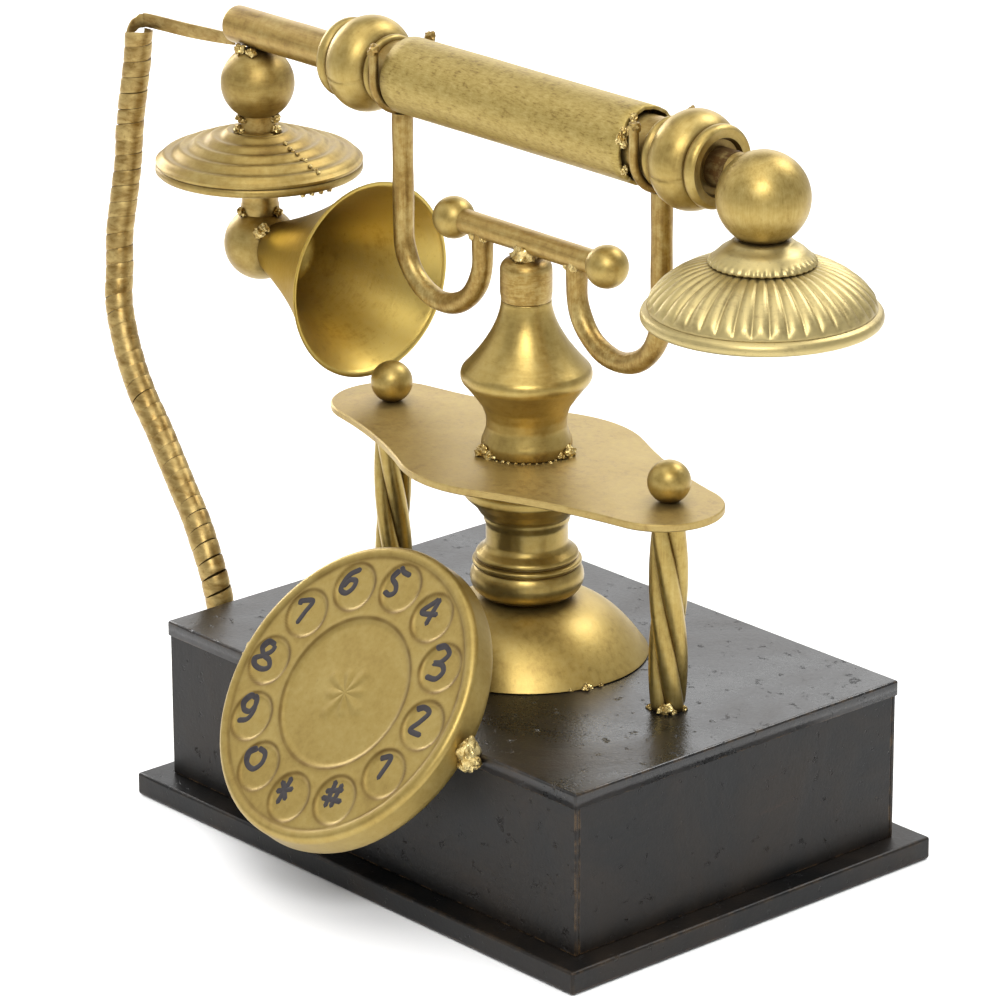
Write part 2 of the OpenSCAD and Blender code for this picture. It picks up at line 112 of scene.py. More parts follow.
def new_piece(name, verts, faces, material, node=None, body="root", slot="antique_gold",
              sharp=40):
    """A mesh piece from points in mm, smooth but for edges sharper than the angle."""
    mesh = bpy.data.meshes.new(name)
    mesh.from_pydata([Vector(v) * MM for v in verts], [], faces)
    mesh.validate()
    mesh.shade_smooth()
    mesh.set_sharp_from_angle(angle=math.radians(sharp))
    obj = bpy.data.objects.new(name, mesh)
    SCENE.collection.objects.link(obj)
    mesh.materials.append(material)
    if body:
        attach(obj, body)
    if node:
        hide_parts(node)
    return obj


class Shape:
    """Points and faces that several helpers add to, so that one piece can hold many parts."""

    def __init__(self):
        self.verts = []
        self.faces = []

    def add(self, verts, faces, place=None):
        first = len(self.verts)
        for v in verts:
            self.verts.append(place @ Vector(v) if place else Vector(v))
        self.faces += [tuple(i + first for i in f) for f in faces]
        return self

    def piece(self, name, material, node=None, body="root", **details):
        return new_piece(name, self.verts, self.faces, material, node, body, **details)


def polar(r, a, cx=0.0, cy=0.0):
    """The point at a distance and an angle in radians from a centre."""
    return cx + r * math.cos(a), cy + r * math.sin(a)


def set_wash(obj, shares):
    """How much brown wash each of a piece's points holds, for a paint that shows it."""
    obj.data.attributes.new("wash", "FLOAT", "POINT").data.foreach_set("value", shares)


def arc(cx, cy, r, a0, a1, n=8):
    """Points on an arc, with the angles in degrees."""
    return [polar(r, math.radians(a0 + (a1 - a0) * i / n), cx, cy) for i in range(n + 1)]


def waver(x, y, z):
    """Smooth noise at a point."""
    return noise.noise(Vector((x, y, z)))


def skin(rings, seg, order=None):
    """Faces between neighbouring rings of seg points each, and the two end faces. order lists a
    ring's points in turn where they weren't made in turn."""
    order = order or range(seg)
    faces = [(i * seg + a, i * seg + b, (i + 1) * seg + b, (i + 1) * seg + a)
             for i in range(rings - 1) for a, b in zip(order, [*order[1:], order[0]])]
    faces.append(tuple(reversed(order)))
    faces.append(tuple((rings - 1) * seg + k for k in order))
    return faces


def soften(points, r=0.5, steps=3, closed=False):
    """The same outline with its corners rounded off over a length r."""
    out = []
    n = len(points)
    for i, p in enumerate(points):
        if not closed and i in (0, n - 1):
            out.append(p)
            continue
        a, b, c = Vector(points[i - 1]), Vector(p), Vector(points[(i + 1) % n])
        before, after = a - b, c - b
        if before.length < 1e-6 or after.length < 1e-6 or before.angle(-after) < 0.22:
            out.append(p)
            continue
        start = b + before.normalized() * min(r, before.length * 0.45)
        end = b + after.normalized() * min(r, after.length * 0.45)
        for k in range(steps + 1):
            t = k / steps
            out.append(tuple(start * (1 - t) ** 2 + b * 2 * t * (1 - t) + end * t * t))
    return out


def lathe(profile, seg=96, closed=False, shape_fn=None, place=None, into=None):
    """Spins (radius, height) points about Z. shape_fn(radius, height, angle) may change a point."""
    verts, rings, faces = [], [], []
    for r, h in profile:
        if abs(r) < 1e-5 and not closed:
            rings.append([len(verts)] * seg)
            verts.append((0, 0, h))
            continue
        rings.append(list(range(len(verts), len(verts) + seg)))
        for k in range(seg):
            a = TAU * k / seg
            rr, hh = shape_fn(r, h, a) if shape_fn else (r, h)
            verts.append((*polar(rr, a), hh))
    for low, high in zip(rings, rings[1:] + ([rings[0]] if closed else [])):
        for k in range(seg):
            m = (k + 1) % seg
            face = tuple(dict.fromkeys((low[k], low[m], high[m], high[k])))
            if len(face) > 2:
                faces.append(face)
    return (into or Shape()).add(verts, faces, place)


def at(x, y, z, along="Z"):
    """Puts a spun shape at a point, with its axis along Z or X."""
    turn = Matrix.Rotation(math.pi / 2, 4, "Y") if along == "X" else Matrix.Identity(4)
    return Matrix.Translation((x, y, z)) @ turn


def smooth_path(points, per=6):
    """A Catmull-Rom curve through the points."""
    pts = [Vector(p) for p in points]
    pts = [pts[0] * 2 - pts[1]] + pts + [pts[-1] * 2 - pts[-2]]
    out = []
    for i in range(1, len(pts) - 2):
        p0, p1, p2, p3 = pts[i - 1:i + 3]
        for k in range(per):
            t = k / per
            out.append(0.5 * (2 * p1 + (p2 - p0) * t + (2 * p0 - 5 * p1 + 4 * p2 - p3) * t * t
                              + (3 * p1 - p0 - 3 * p2 + p3) * t ** 3))
    return out + [pts[-2]]


def frames(path, start=Vector((0, 1, 0))):
    """A tangent and two square directions at each point, carried along without twist."""
    out = []
    side = start
    for i, p in enumerate(path):
        along = (path[min(i + 1, len(path) - 1)] - path[max(i - 1, 0)]).normalized()
        side = (side - along * side.dot(along)).normalized()
        out.append((p, along, side, along.cross(side)))
    return out


def tube(path, radius, seg=20, flat=1.0, start=Vector((0, 1, 0)), into=None):
    """A rod along a path. radius is a number or a function of the share of the way; flat squashes
    it across the second direction."""
    verts = []
    for i, (p, _, side, other) in enumerate(frames(path, start)):
        r = radius(i / (len(path) - 1)) if callable(radius) else radius
        for k in range(seg):
            a = TAU * k / seg
            verts.append(p + side * r * math.cos(a) + other * r * flat * math.sin(a))
    return (into or Shape()).add(verts, skin(len(path), seg))


def rounded_end(t, r, length):
    """Radius of a rod of that length whose ends close in a half round."""
    gap = min(t, 1 - t) * length
    return r if gap > r else math.sqrt(max(r * r - (r - gap) ** 2, 0.0)) + 0.02


def blob(centre, size, seed, rough=0.28, detail=3, place=None, into=None):
    """A crumpled lump of braze or weld metal."""
    n = 2 ** detail * 4
    m = n // 2
    verts, faces = [], []
    for i in range(m + 1):
        lat = math.pi * i / m - math.pi / 2
        for k in range(n):
            a = TAU * k / n
            d = Vector((math.cos(lat) * math.cos(a), math.cos(lat) * math.sin(a), math.sin(lat)))
            crumple = noise.fractal(d * 1.1 + Vector((seed * 3.1, seed, 0)), 1.0, 2.2, 2)
            ridge = 1 - abs(noise.noise(d * 1.5 + Vector((0, seed * 2.7, seed)))) * 2
            s = 1 + rough * (0.7 * crumple + 0.7 * ridge ** 3 - 0.3)
            verts.append(Vector(centre) + d * Vector(size) * s)
            if i < m:
                faces.append((i * n + k, i * n + (k + 1) % n,
                              (i + 1) * n + (k + 1) % n, (i + 1) * n + k))
    return (into or Shape()).add(verts, faces, place)


def bead_line(points, r, seed, into, rough=0.35):
    """Overlapping lumps of uneven size along a line, as a weld leaves them."""
    rng = random.Random(seed)
    for i, p in enumerate(points):
        s = r * rng.uniform(0.55, 1.35)
        blob([c + rng.uniform(-0.3, 0.3) * r for c in p], (s, s * 1.1, s * 0.8), seed + i * 1.7,
             rough, 3, into=into)
    return into


# ---- Materials ----

class Paint:
    """Builds a node material: node(kind, **settings) adds one, and wires by name."""

    def __init__(self, name):
        self.material = bpy.data.materials.new(name)
        self.material.use_nodes = True
        self.tree = self.material.node_tree
        self.shader = self.tree.nodes["Principled BSDF"]
        self.coords = self.node("TexCoord").outputs["Object"]

    def node(self, kind, **settings):
        n = self.tree.nodes.new("ShaderNode" + kind)
        for key, value in settings.items():
            setattr(n, key, value)
        return n

    def wire(self, source, target):
        self.tree.links.new(source, target)

    def fill(self, socket, value):
        if isinstance(value, bpy.types.NodeSocket):
            self.wire(value, socket)
        else:
            socket.default_value = value

    def noise(self, vector, scale, detail=3.0, rough=0.55, distort=0.0):
        n = self.node("TexNoise")
        for key, value in (("Vector", vector), ("Scale", scale), ("Detail", detail),
                           ("Roughness", rough), ("Distortion", distort)):
            self.fill(n.inputs[key], value)
        return n.outputs["Fac"]

    def math(self, op, a, b=0.0):
        n = self.node("Math", operation=op)
        self.fill(n.inputs[0], a)
        self.fill(n.inputs[1], b)
        return n.outputs[0]

    def times(self, a, b):
        return self.math("MULTIPLY", a, b)

    def weigh(self, a, a_share, b, b_share):
        """Two values added in their shares."""
        return self.math("ADD", self.times(a, a_share), self.times(b, b_share))

    def spread(self, value, a, b, low=0.0, high=1.0):
        n = self.node("MapRange")
        for socket, v in zip(n.inputs, (value, a, b, low, high)):
            self.fill(socket, v)
        return n.outputs[0]

    def mix(self, fac, a, b):
        n = self.node("Mix", data_type="RGBA")
        self.fill(n.inputs[0], fac)
        self.fill(n.inputs[6], a)
        self.fill(n.inputs[7], b)
        return n.outputs[2]

    def stretch(self, vector, scale):
        n = self.node("Mapping")
        self.wire(vector, n.inputs["Vector"])
        n.inputs["Scale"].default_value = scale
        return n.outputs["Vector"]

    def spun(self, centre, axis="Z"):
        """Coordinates that follow the marks of turning: along, outwards and round an axis."""
        moved = self.node("VectorMath", operation="SUBTRACT")
        self.wire(self.coords, moved.inputs[0])
        moved.inputs[1].default_value = [c * MM for c in centre]
        parts = self.node("SeparateXYZ")
        self.wire(moved.outputs[0], parts.inputs[0])
        x, y, z = parts.outputs
        if axis == "X":
            x, y, z = y, z, x
        r = self.math("SQRT", self.weigh(x, x, y, y))
        turn = self.times(self.math("ARCTAN2", y, x), 0.0015)  # short steps round: long marks
        out = self.node("CombineXYZ")
        for source, socket in zip((z, r, turn), out.inputs):
            self.wire(source, socket)
        return out.outputs[0]

    def occlusion_shade(self, reach_mm):
        """Ambient occlusion, for painted shade: 0 where the surface is shut in and 1 in the open.
        """
        n = self.node("AmbientOcclusion", samples=6)
        n.inputs["Distance"].default_value = reach_mm * MM
        return n.outputs["AO"]

    def edges(self, width_mm):
        """1 on an edge and 0 on a flat."""
        bevel = self.node("Bevel", samples=4)
        bevel.inputs["Radius"].default_value = width_mm * MM
        flat = self.node("NewGeometry")
        dot = self.node("VectorMath", operation="DOT_PRODUCT")
        self.wire(bevel.outputs[0], dot.inputs[0])
        self.wire(flat.outputs["Normal"], dot.inputs[1])
        return self.spread(dot.outputs["Value"], 0.995, 0.85)

    def shade_recesses(self, colour, reach_mm, low, high, share, tone):
        """The colour with painted shade let into its recesses, where ambient occlusion finds them.
        """
        shade_share = self.spread(self.occlusion_shade(reach_mm), low, high, share, 0.0)
        return self.mix(shade_share, colour, tone)

    def bump(self, parts):
        """Chains (height, depth in mm) pairs into the shader's normal."""
        normal = None
        for height, depth in parts:
            n = self.node("Bump")
            n.inputs["Strength"].default_value = 1.0
            n.inputs["Distance"].default_value = depth * MM
            self.wire(height, n.inputs["Height"])
            if normal:
                self.wire(normal, n.inputs["Normal"])
            normal = n.outputs[0]
        self.wire(normal, self.shader.inputs["Normal"])

    def set(self, **values):
        for key, value in values.items():
            self.fill(self.shader.inputs[key.replace("_", " ")], value)


def linear(r, g, b):
    """An 8-bit screen colour as the linear colour that a node takes."""
    out = [(c / 255 / 12.92 if c / 255 < 0.04045 else ((c / 255 + 0.055) / 1.055) ** 2.4)
           for c in (r, g, b)]
    return (*out, 1.0)


GOLD_DARK = linear(104, 75, 36)
GOLD_MID = linear(166, 142, 78)
GOLD_LIGHT = linear(196, 176, 114)
# Painted shade: the dark brown let into recesses where ambient occlusion finds them
GOLD_PAINTED_SHADE = linear(70, 46, 16)
GOLD_WASH = linear(104, 78, 34)
RAMP_REACH = 0.24  # how far the dark and light tones lie from the middle, at a contrast of 1


# Two of the settings below set how far painted shade reaches into recesses and how strong it is
def gold(name, marks="plain", centre=(0, 0, 0), axis="Z", patches=0.5, brush=0.2,
         rough=(0.36, 0.48), shade_reach_mm=5.0, recess_shade=0.75, mid_tone=GOLD_MID, pebble=0.03,
         wash=False, contrast=0.8, coat=0.12):
    """Antique-gold paint on metal: patchy and speckled, brushed in the way marks says, with
    shade painted into the recesses by ambient occlusion."""
    p = Paint(name)
    patch = p.noise(p.coords, 55, 4, 0.6, 0.4)
    speck = p.noise(p.coords, 1100, 2, 0.6)
    grain = p.noise(p.coords, 420, 3, 0.65)
    if marks == "spun":
        lines = p.noise(p.stretch(p.spun(centre, axis), (1500, 1500, 1500)), 1, 3, 0.6)
    elif marks == "grain":
        lines = p.noise(p.stretch(p.coords, (420, 1700, 1700)), 1, 3, 0.7)
    elif marks == "along":
        stretch = {"X": (70, 1500, 1500), "Y": (1500, 70, 1500), "Z": (1500, 1500, 70)}[axis]
        lines = p.noise(p.stretch(p.coords, stretch), 1, 3, 0.7)
    else:
        lines = p.noise(p.coords, 700, 4, 0.7)
    tone = p.math("DIVIDE", p.weigh(patch, patches, lines, brush), patches + brush)
    ramp = p.node("ValToRGB")
    stops = ramp.color_ramp.elements
    stops[0].position, stops[0].color = 0.5 - RAMP_REACH / contrast, GOLD_DARK
    stops[1].position, stops[1].color = 0.5 + RAMP_REACH / contrast, GOLD_LIGHT
    stops.new(0.47).color = mid_tone
    p.wire(p.weigh(tone, 0.62, grain, 0.38), ramp.inputs[0])
    flecks = p.spread(speck, 0.66, 0.74)
    colour = p.mix(p.times(flecks, 0.25), ramp.outputs[0], GOLD_DARK)
    if wash:
        stain = p.node("Attribute", attribute_name="wash")
        colour = p.mix(stain.outputs["Fac"], colour, GOLD_WASH)
    # Painted shade: darker brown wherever ambient occlusion finds a recess
    colour = p.shade_recesses(colour, shade_reach_mm, 0.35, 0.95, recess_shade, GOLD_PAINTED_SHADE)
    p.set(Base_Color=colour, Metallic=0.88,
          Roughness=p.spread(p.weigh(grain, 0.6, lines, 0.4), 0.3, 0.7, *rough))
    p.shader.inputs["Coat Weight"].default_value = coat
    p.shader.inputs["Coat Roughness"].default_value = 0.35
    p.bump([(patch, 0.12), (lines, 0.02), (grain, pebble), (speck, 0.02)])
    return p.material


def black_paint(name, sheen=(0.3, 0.5), shine=0.28):
    """Satin brown-black paint with pits, worn to tan along the edges and to brown in patches."""
    p = Paint(name)
    cloud = p.noise(p.coords, 22, 5, 0.6, 0.6)
    fine = p.noise(p.coords, 900, 3, 0.6)
    streak = p.noise(p.stretch(p.coords, (30, 30, 260)), 1, 4, 0.65)
    pits = p.spread(p.noise(p.coords, 190, 4, 0.7), 0.63, 0.72)
    base = p.mix(p.spread(cloud, 0.42, 0.66), linear(11, 11, 11), linear(31, 25, 19))
    worn = p.times(p.spread(streak, 0.6, 0.75), p.spread(cloud, 0.5, 0.66))
    base = p.mix(p.times(worn, 0.4), base, linear(60, 40, 27))
    rubbed = p.times(p.edges(0.9), p.spread(p.noise(p.coords, 160, 5, 0.75), 0.46, 0.6))
    base = p.mix(p.times(rubbed, 0.8), base, linear(150, 118, 78))
    p.set(Base_Color=base, Metallic=0.0,
          Roughness=p.spread(p.weigh(cloud, 0.7, fine, 0.3), 0.3, 0.7, *sheen))
    p.shader.inputs["Specular IOR Level"].default_value = shine
    p.bump([(cloud, 0.5), (pits, -0.3), (fine, 0.06)])
    return p.material


def ink(name):
    """Hand-brushed black enamel of the numbers."""
    p = Paint(name)
    stroke = p.noise(p.coords, 800, 3, 0.6)
    p.set(Base_Color=p.mix(stroke, linear(28, 24, 26), linear(52, 46, 48)),
          Roughness=p.spread(stroke, 0.3, 0.7, 0.35, 0.6))
    p.bump([(stroke, 0.05)])
    return p.material


def braze(name):
    """Bright, crumpled braze metal under thin gold paint."""
    p = Paint(name)
    lump = p.noise(p.coords, 260, 3, 0.6, 0.6)
    fine = p.noise(p.coords, 2200, 2, 0.6)
    colour = p.mix(p.spread(lump, 0.35, 0.65), linear(168, 138, 72), linear(226, 206, 144))
    # Painted shade in the braze's creases, let in by ambient occlusion
    p.set(Base_Color=p.shade_recesses(colour, 1.5, 0.3, 0.95, 0.6, GOLD_PAINTED_SHADE), Metallic=0.9,
          Roughness=p.spread(fine, 0.35, 0.65, 0.22, 0.45))
    p.bump([(lump, 0.05), (fine, 0.02)])
    return p.material


def strip_gold(name):
    """Thin flat metal strip: darker old gold with streaks along it."""
    p = Paint(name)
    streak = p.noise(p.stretch(p.coords, (160, 160, 420)), 1, 4, 0.65, 0.5)
    speck = p.noise(p.coords, 900, 2, 0.6)
    colour = p.mix(p.spread(streak, 0.35, 0.66), linear(138, 110, 58), linear(186, 162, 104))
    colour = p.mix(p.times(p.spread(speck, 0.62, 0.72), 0.4), colour, GOLD_DARK)
    # Painted shade in the strip's creases and between its turns, by ambient occlusion
    colour = p.shade_recesses(colour, 1.6, 0.4, 0.98, 0.75, linear(46, 30, 10))
    p.set(Base_Color=colour, Metallic=0.85,
          Roughness=p.spread(streak, 0.3, 0.7, 0.32, 0.5))
    p.bump([(streak, 0.12), (speck, 0.03)])
    return p.material


M_BRAZE = braze("braze")
M_BLACK = black_paint("black_case_paint")
M_LID = black_paint("black_lid_paint", (0.2, 0.42), 0.5)
M_INK = ink("number_enamel")
M_STRIP = strip_gold("strip_gold_paint")
M_PLAIN = gold("gold_plain")
M_SHELF = gold("gold_shelf", brush=0.5, rough=(0.42, 0.56), recess_shade=0.35,
               mid_tone=linear(170, 146, 88))
M_COLUMN = gold("gold_column", "spun", rough=(0.3, 0.42), contrast=0.6)
M_FOOT = gold("gold_foot", patches=0.6, rough=(0.38, 0.5), recess_shade=0.45, pebble=0.06,
              mid_tone=linear(176, 151, 84), contrast=0.7)
M_CAP = gold("gold_cap", "spun", brush=0.6, rough=(0.34, 0.5),
             mid_tone=linear(150, 122, 62), contrast=1.1)
M_HANDSET = gold("gold_handset", "spun", (0, 0, mid("core_rod")[2]), "X")
M_GRIP = gold("gold_grip", "grain", patches=0.2, brush=1.0, rough=(0.46, 0.6), pebble=0.08,
              mid_tone=linear(168, 146, 80), contrast=1.15, recess_shade=0.4)
M_ROD = gold("gold_rod", "along", axis="X", patches=0.8, brush=0.5, mid_tone=linear(164, 136, 74),
             recess_shade=0.5, contrast=1.0)
M_SOOT = gold("gold_soot", "along", axis="X", patches=0.8, brush=0.5, rough=(0.45, 0.6),
              mid_tone=linear(92, 66, 34))
M_HOOK = gold("gold_hook", "along", patches=0.8, brush=0.6,
              mid_tone=linear(150, 122, 64), contrast=1.2)


# ---- Cord: a flat strip wound into an open tube, and its free end ----

# The wound cord's route, from the plinth up to the lead strip, in mm
CORD_ROUTE = [
    (-106, -43, 7.6), (-106, -43, 20), (-106, -43, 32), (-106, -43, 44), (-106, -43, 55),
    (-109, -43, 66), (-115, -42, 76), (-123, -40, 85), (-132, -38, 93), (-141, -36, 101),
    (-150, -34, 109), (-159, -33, 118), (-167, -31, 126), (-174, -29, 136), (-179, -27, 146),
    (-182, -24, 157), (-184, -22, 168), (-185, -19, 180), (-186, -16, 192), (-187, -14, 204),
    (-187, -12, 216), (-187, -10, 227), (-187, -9, 237),
]
CORD_R = 4.8
STRIP_T = 0.5
STRIP_W = 5.3
PITCH = 5.4
TURN_STEPS = 18  # points along one turn of the strip
STRIP_LOOP = (0, 2, 4, 6, 7, 5, 3, 1)  # the eight points of a strip's section, in turn


def path_length(path):
    return sum((b - a).length for a, b in zip(path, path[1:]))


def wound_strip():
    """The strip wound round the cord's route. Its upper edge stands out over the next turn."""
    path = smooth_path(CORD_ROUTE, 10)
    rings = frames(path, Vector((1, 0, 0)))
    gaps = [0.0]
    for a, b in zip(path, path[1:]):
        gaps.append(gaps[-1] + (b - a).length)
    total = gaps[-1]
    steps = int(total / PITCH * TURN_STEPS)
    verts = []
    j = 0
    for i in range(steps + 1):
        s = total * i / steps
        while j < len(gaps) - 2 and gaps[j + 1] < s:
            j += 1
        t = (s - gaps[j]) / (gaps[j + 1] - gaps[j])
        p = rings[j][0].lerp(rings[j + 1][0], t)
        along = rings[j][1].lerp(rings[j + 1][1], t).normalized()
        side = rings[j][2].lerp(rings[j + 1][2], t).normalized()
        other = along.cross(side)
        turns = s / PITCH
        loose = 1 + 0.10 * max(0, 1 - s / 30) * math.sin(turns * 5)
        wave = 0.16 * waver(turns * 0.9, 3.0, 0)
        a = TAU * turns
        out = side * math.cos(a) + other * math.sin(a)
        w = STRIP_W * (0.5 + 0.05 * waver(turns * 1.3, 0, 7))
        for along_by, lift in ((-w, -0.22), (-w * 0.6, 0.0), (w * 0.6, 0.05), (w, -0.06)):
            for depth in (0, STRIP_T):
                d = min(max(along_by, -s), total - s)
                verts.append(p + along * d + out * ((CORD_R + lift + wave) * loose - depth))
    return verts, skin(steps + 1, 8, STRIP_LOOP), path


coil_verts, coil_faces, coil_path = wound_strip()
cord = new_piece("wound_cord", coil_verts, coil_faces, M_STRIP, "cord_coil", body=None,
                 slot="cord_strip_gold", sharp=35)
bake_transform(cord)

lead_lo, lead_hi = lo("cord_lead"), hi("cord_lead")


def lead_strip():
    """The flat strip's free end: off the coil, in a bend, and straight to the core rod."""
    top = Vector(CORD_ROUTE[-1])
    z = (lead_lo[2] + lead_hi[2]) / 2
    bend_r = CORD_R - 0.4
    bend = [polar(bend_r, math.radians(a), top.x, top.y) for a in range(215, 103, -8)]
    end_x = lo("core_rod")[0] - 0.2
    leave_x, leave_y = bend[-1]
    run = [(leave_x + (end_x - leave_x) * t, leave_y * (1 - t))
           for t in (0.15, 0.35, 0.55, 0.75, 0.9, 1)]
    dips = [-6.5 * (1 - i / (len(bend) - 1)) ** 2 for i in range(len(bend))] + [0] * len(run)
    path = smooth_path([Vector((x, y, z + dip)) for (x, y), dip in zip(bend + run, dips)], 4)
    verts = []
    last = len(path) - 1
    for i, p in enumerate(path):
        t = i / last
        along = (path[min(i + 1, last)] - path[max(i - 1, 0)]).normalized()
        out = Vector((along.y, -along.x, 0)).normalized()
        h = 2.4 * (1 - 0.3 * max(0, (t - 0.8) / 0.2) ** 2) * (0.72 + 0.28 * min(1, t / 0.25))
        sag = -0.5 * math.sin(math.pi * t) + 0.25 * waver(t * 9, 1, 2)
        for up in (-h, -h * 0.4, h * 0.4, h):
            bow = 0.18 * (1 - (up / h) ** 2)
            for side in (0.36, -0.36):
                verts.append(p + out * (side + bow) + Vector((0, 0, up + sag)))
    return new_piece("lead_strip", verts, skin(last + 1, 8, STRIP_LOOP), M_STRIP, "cord_lead",
                     "handset", slot="cord_strip_gold", sharp=35)


lead = lead_strip()


# ---- Plinth and case ----

def sheet_box(name, node, bevel, material, cuts, wave, seed, skip=None):
    """A plate in a CAD node's box with rounded edges and the slight waves of real sheet. skip is a
    side to leave open, as (axis, is it the low end)."""
    a, b = lo(node), hi(node)
    size = [q - p for p, q in zip(a, b)]
    counts = [max(1, round(cuts * s / max(size))) for s in size]
    verts, faces, index = [], [], {}

    def corner(i, j, k):
        key = (i, j, k)
        if key not in index:
            index[key] = len(verts)
            verts.append([p + s * (n / c) for p, s, n, c in zip(a, size, key, counts)])
        return index[key]

    for axis in range(3):
        u, v = [x for x in range(3) if x != axis]
        for end in (0, counts[axis]):
            for i in range(counts[u]):
                for j in range(counts[v]):
                    quad = []
                    for di, dj in ((0, 0), (1, 0), (1, 1), (0, 1)):
                        key = [0, 0, 0]
                        key[axis], key[u], key[v] = end, i + di, j + dj
                        quad.append(corner(*key))
                    if (end == 0) == (axis != 1):
                        quad.reverse()
                    if skip != (axis, end == 0):
                        faces.append(quad)
    for v in verts:
        shift = [wave * noise.noise(Vector(v) * 0.02 + Vector((seed + 31 * c, 0, 0)))
                 for c in range(3)]
        for c in range(3):
            if size[c] > 6:
                v[c] += shift[c] * (0.3 if v[c] in (a[c], b[c]) else 0)
            elif v[c] > a[c]:
                v[c] += shift[c] * 0.5
    obj = new_piece(name, verts, faces, material, node, slot="black_case", sharp=60)
    mod = obj.modifiers.new("rounded_edges", "BEVEL")
    mod.width = bevel * MM
    mod.segments = 3
    mod.limit_method = "ANGLE"
    mod.angle_limit = math.radians(50)
    mod.harden_normals = False
    return obj


sheet_box("plinth_board", "plinth_plate", 0.9, M_BLACK, 24, 0.2, 1)
for seed, (side, cuts) in enumerate((("front", 16), ("rear", 16), ("left", 12), ("right", 12)), 2):
    sheet_box(f"case_{side}_sheet", f"case_{side}_panel", 0.4, M_BLACK, cuts, 0.25, seed)
lid = sheet_box("case_lid_sheet", "case_lid", 0.8, M_LID, 20, 0.15, 6, skip=(2, True))
lid_depth = lid.modifiers.new("sheet", "SOLIDIFY")
lid_depth.thickness = 0.6 * MM
lid_depth.offset = -1


# ---- Dial ----

RIM_R = half("dial", 0)
CASE_TOP = hi("case_lid")[2]
CASE_FRONT = lo("case_lid")[1]
DIAL_LEAN = math.radians(39)
on_dial = (Matrix.Translation((0, CASE_FRONT, CASE_TOP))
           @ Matrix.Rotation(math.pi / 2 - DIAL_LEAN, 4, "X"))
DIAL_DEPTH = 10
FACE_Z = 9.5
CUP_RING = 37.8
CUP_R = 8.6
BOSS_R = 26.4
STAR_RISE = 0.3
DISH_DEPTH = 0.75
CUPS = [polar(CUP_RING, math.radians(30 * i - 30)) for i in range(12)]


def ease(x):
    x = min(max(x, 0), 1)
    return x * x * (3 - 2 * x)


def dish(d, r, depth, slope, lip):
    """Height of a pressed dish at a distance from its middle, with a slight lip round it."""
    return -depth * ease((r - d) / slope) + lip * math.exp(-((d - r - 0.5) / 0.7) ** 2)


def star(x, y):
    """A faint stamped star: eight short rays that stand a little proud."""
    r, a = math.hypot(x, y), math.atan2(y, x)
    best = 0
    for k in range(8):
        turn = abs((a - k * TAU / 8 - 0.35 + math.pi) % TAU - math.pi)
        reach_out = 11.5 if k % 2 else 9
        if turn < 0.5 and r < reach_out:
            width = 1.0 + 0.24 * r
            best = max(best, ease(1 - turn * r / width) * ease((reach_out - r) / 3))
    return STAR_RISE * best


def face_height(x, y):
    r = math.hypot(x, y)
    z = FACE_Z + dish(r, BOSS_R, DISH_DEPTH, 2.6, 0.12)
    z += 0.55 * math.exp(-(r / 17) ** 2) * (r < BOSS_R)
    for cup in CUPS:
        d = math.dist((x, y), cup)
        if d < CUP_R + 3:
            z += dish(d, CUP_R, DISH_DEPTH, 2.0, 0.12) + 0.12 * math.exp(-(d / 4) ** 2)
    z += 0.5 * ease((r - RIM_R + 4.3) / 0.9)
    return z + 0.06 * waver(x * 0.05, y * 0.05, 4) + star(x, y)


def wash_at(x, y):
    """How much brown stays in the dish edges, from 0 to 1."""
    def ring(distance, r):
        return math.exp(-((distance - r) / 0.7) ** 2)

    r = math.hypot(x, y)
    best = ring(r, BOSS_R - 0.3) + 0.7 * ring(r, RIM_R - 4.4)
    for cup in CUPS:
        best = max(best, ring(math.dist((x, y), cup), CUP_R - 0.2))
    return 0.95 * min(best, 1) * (0.8 + 0.4 * waver(x * 0.2, y * 0.2, 9))


def dial_plate():
    """Polar grid over the face, then the rolled edge, the side and the flat back."""
    seg = 384
    radii = [0.0] + [0.5 + 0.55 * i for i in range(int((RIM_R - 3) / 0.55))]
    verts = [(0, 0, face_height(0, 0))]
    for r in radii[1:]:
        for k in range(seg):
            x, y = polar(r, TAU * k / seg)
            verts.append((x, y, face_height(x, y)))
    edge = 2.4
    tail = arc(RIM_R - edge, DIAL_DEPTH - edge, edge, 88, 4, 8) + [(RIM_R, 2)]
    tail += [(RIM_R + 0.12, 0.9), (RIM_R - 0.1, 0.1), (RIM_R - 0.8, 0), (0, 0)]
    for r, h in tail[:-1]:
        for k in range(seg):
            a = TAU * k / seg
            verts.append((*polar(r + 0.12 * waver(*polar(2, a), h * 0.1), a), h))
    rings = len(radii) - 1 + len(tail) - 1
    faces = [(0, 1 + k, 1 + (k + 1) % seg) for k in range(seg)]
    for i in range(rings - 1):
        low, high = 1 + i * seg, 1 + (i + 1) * seg
        faces += [(low + k, high + k, high + (k + 1) % seg, low + (k + 1) % seg)
                  for k in range(seg)]
    verts.append((0, 0, 0))
    last = 1 + (rings - 1) * seg
    faces += [(last + k, len(verts) - 1, last + (k + 1) % seg) for k in range(seg)]
    return Shape().add(verts, faces, on_dial)


M_DIAL = gold("gold_dial", rough=(0.38, 0.48), shade_reach_mm=3,
              recess_shade=0.5, pebble=0.012, wash=True, contrast=0.5)
plate = dial_plate().piece("dial_plate", M_DIAL, "dial", sharp=50)
flat = [on_dial.inverted() @ (v.co / MM) for v in plate.data.vertices]
set_wash(plate, [wash_at(p.x, p.y) * (p.z > FACE_Z - 2) for p in flat])

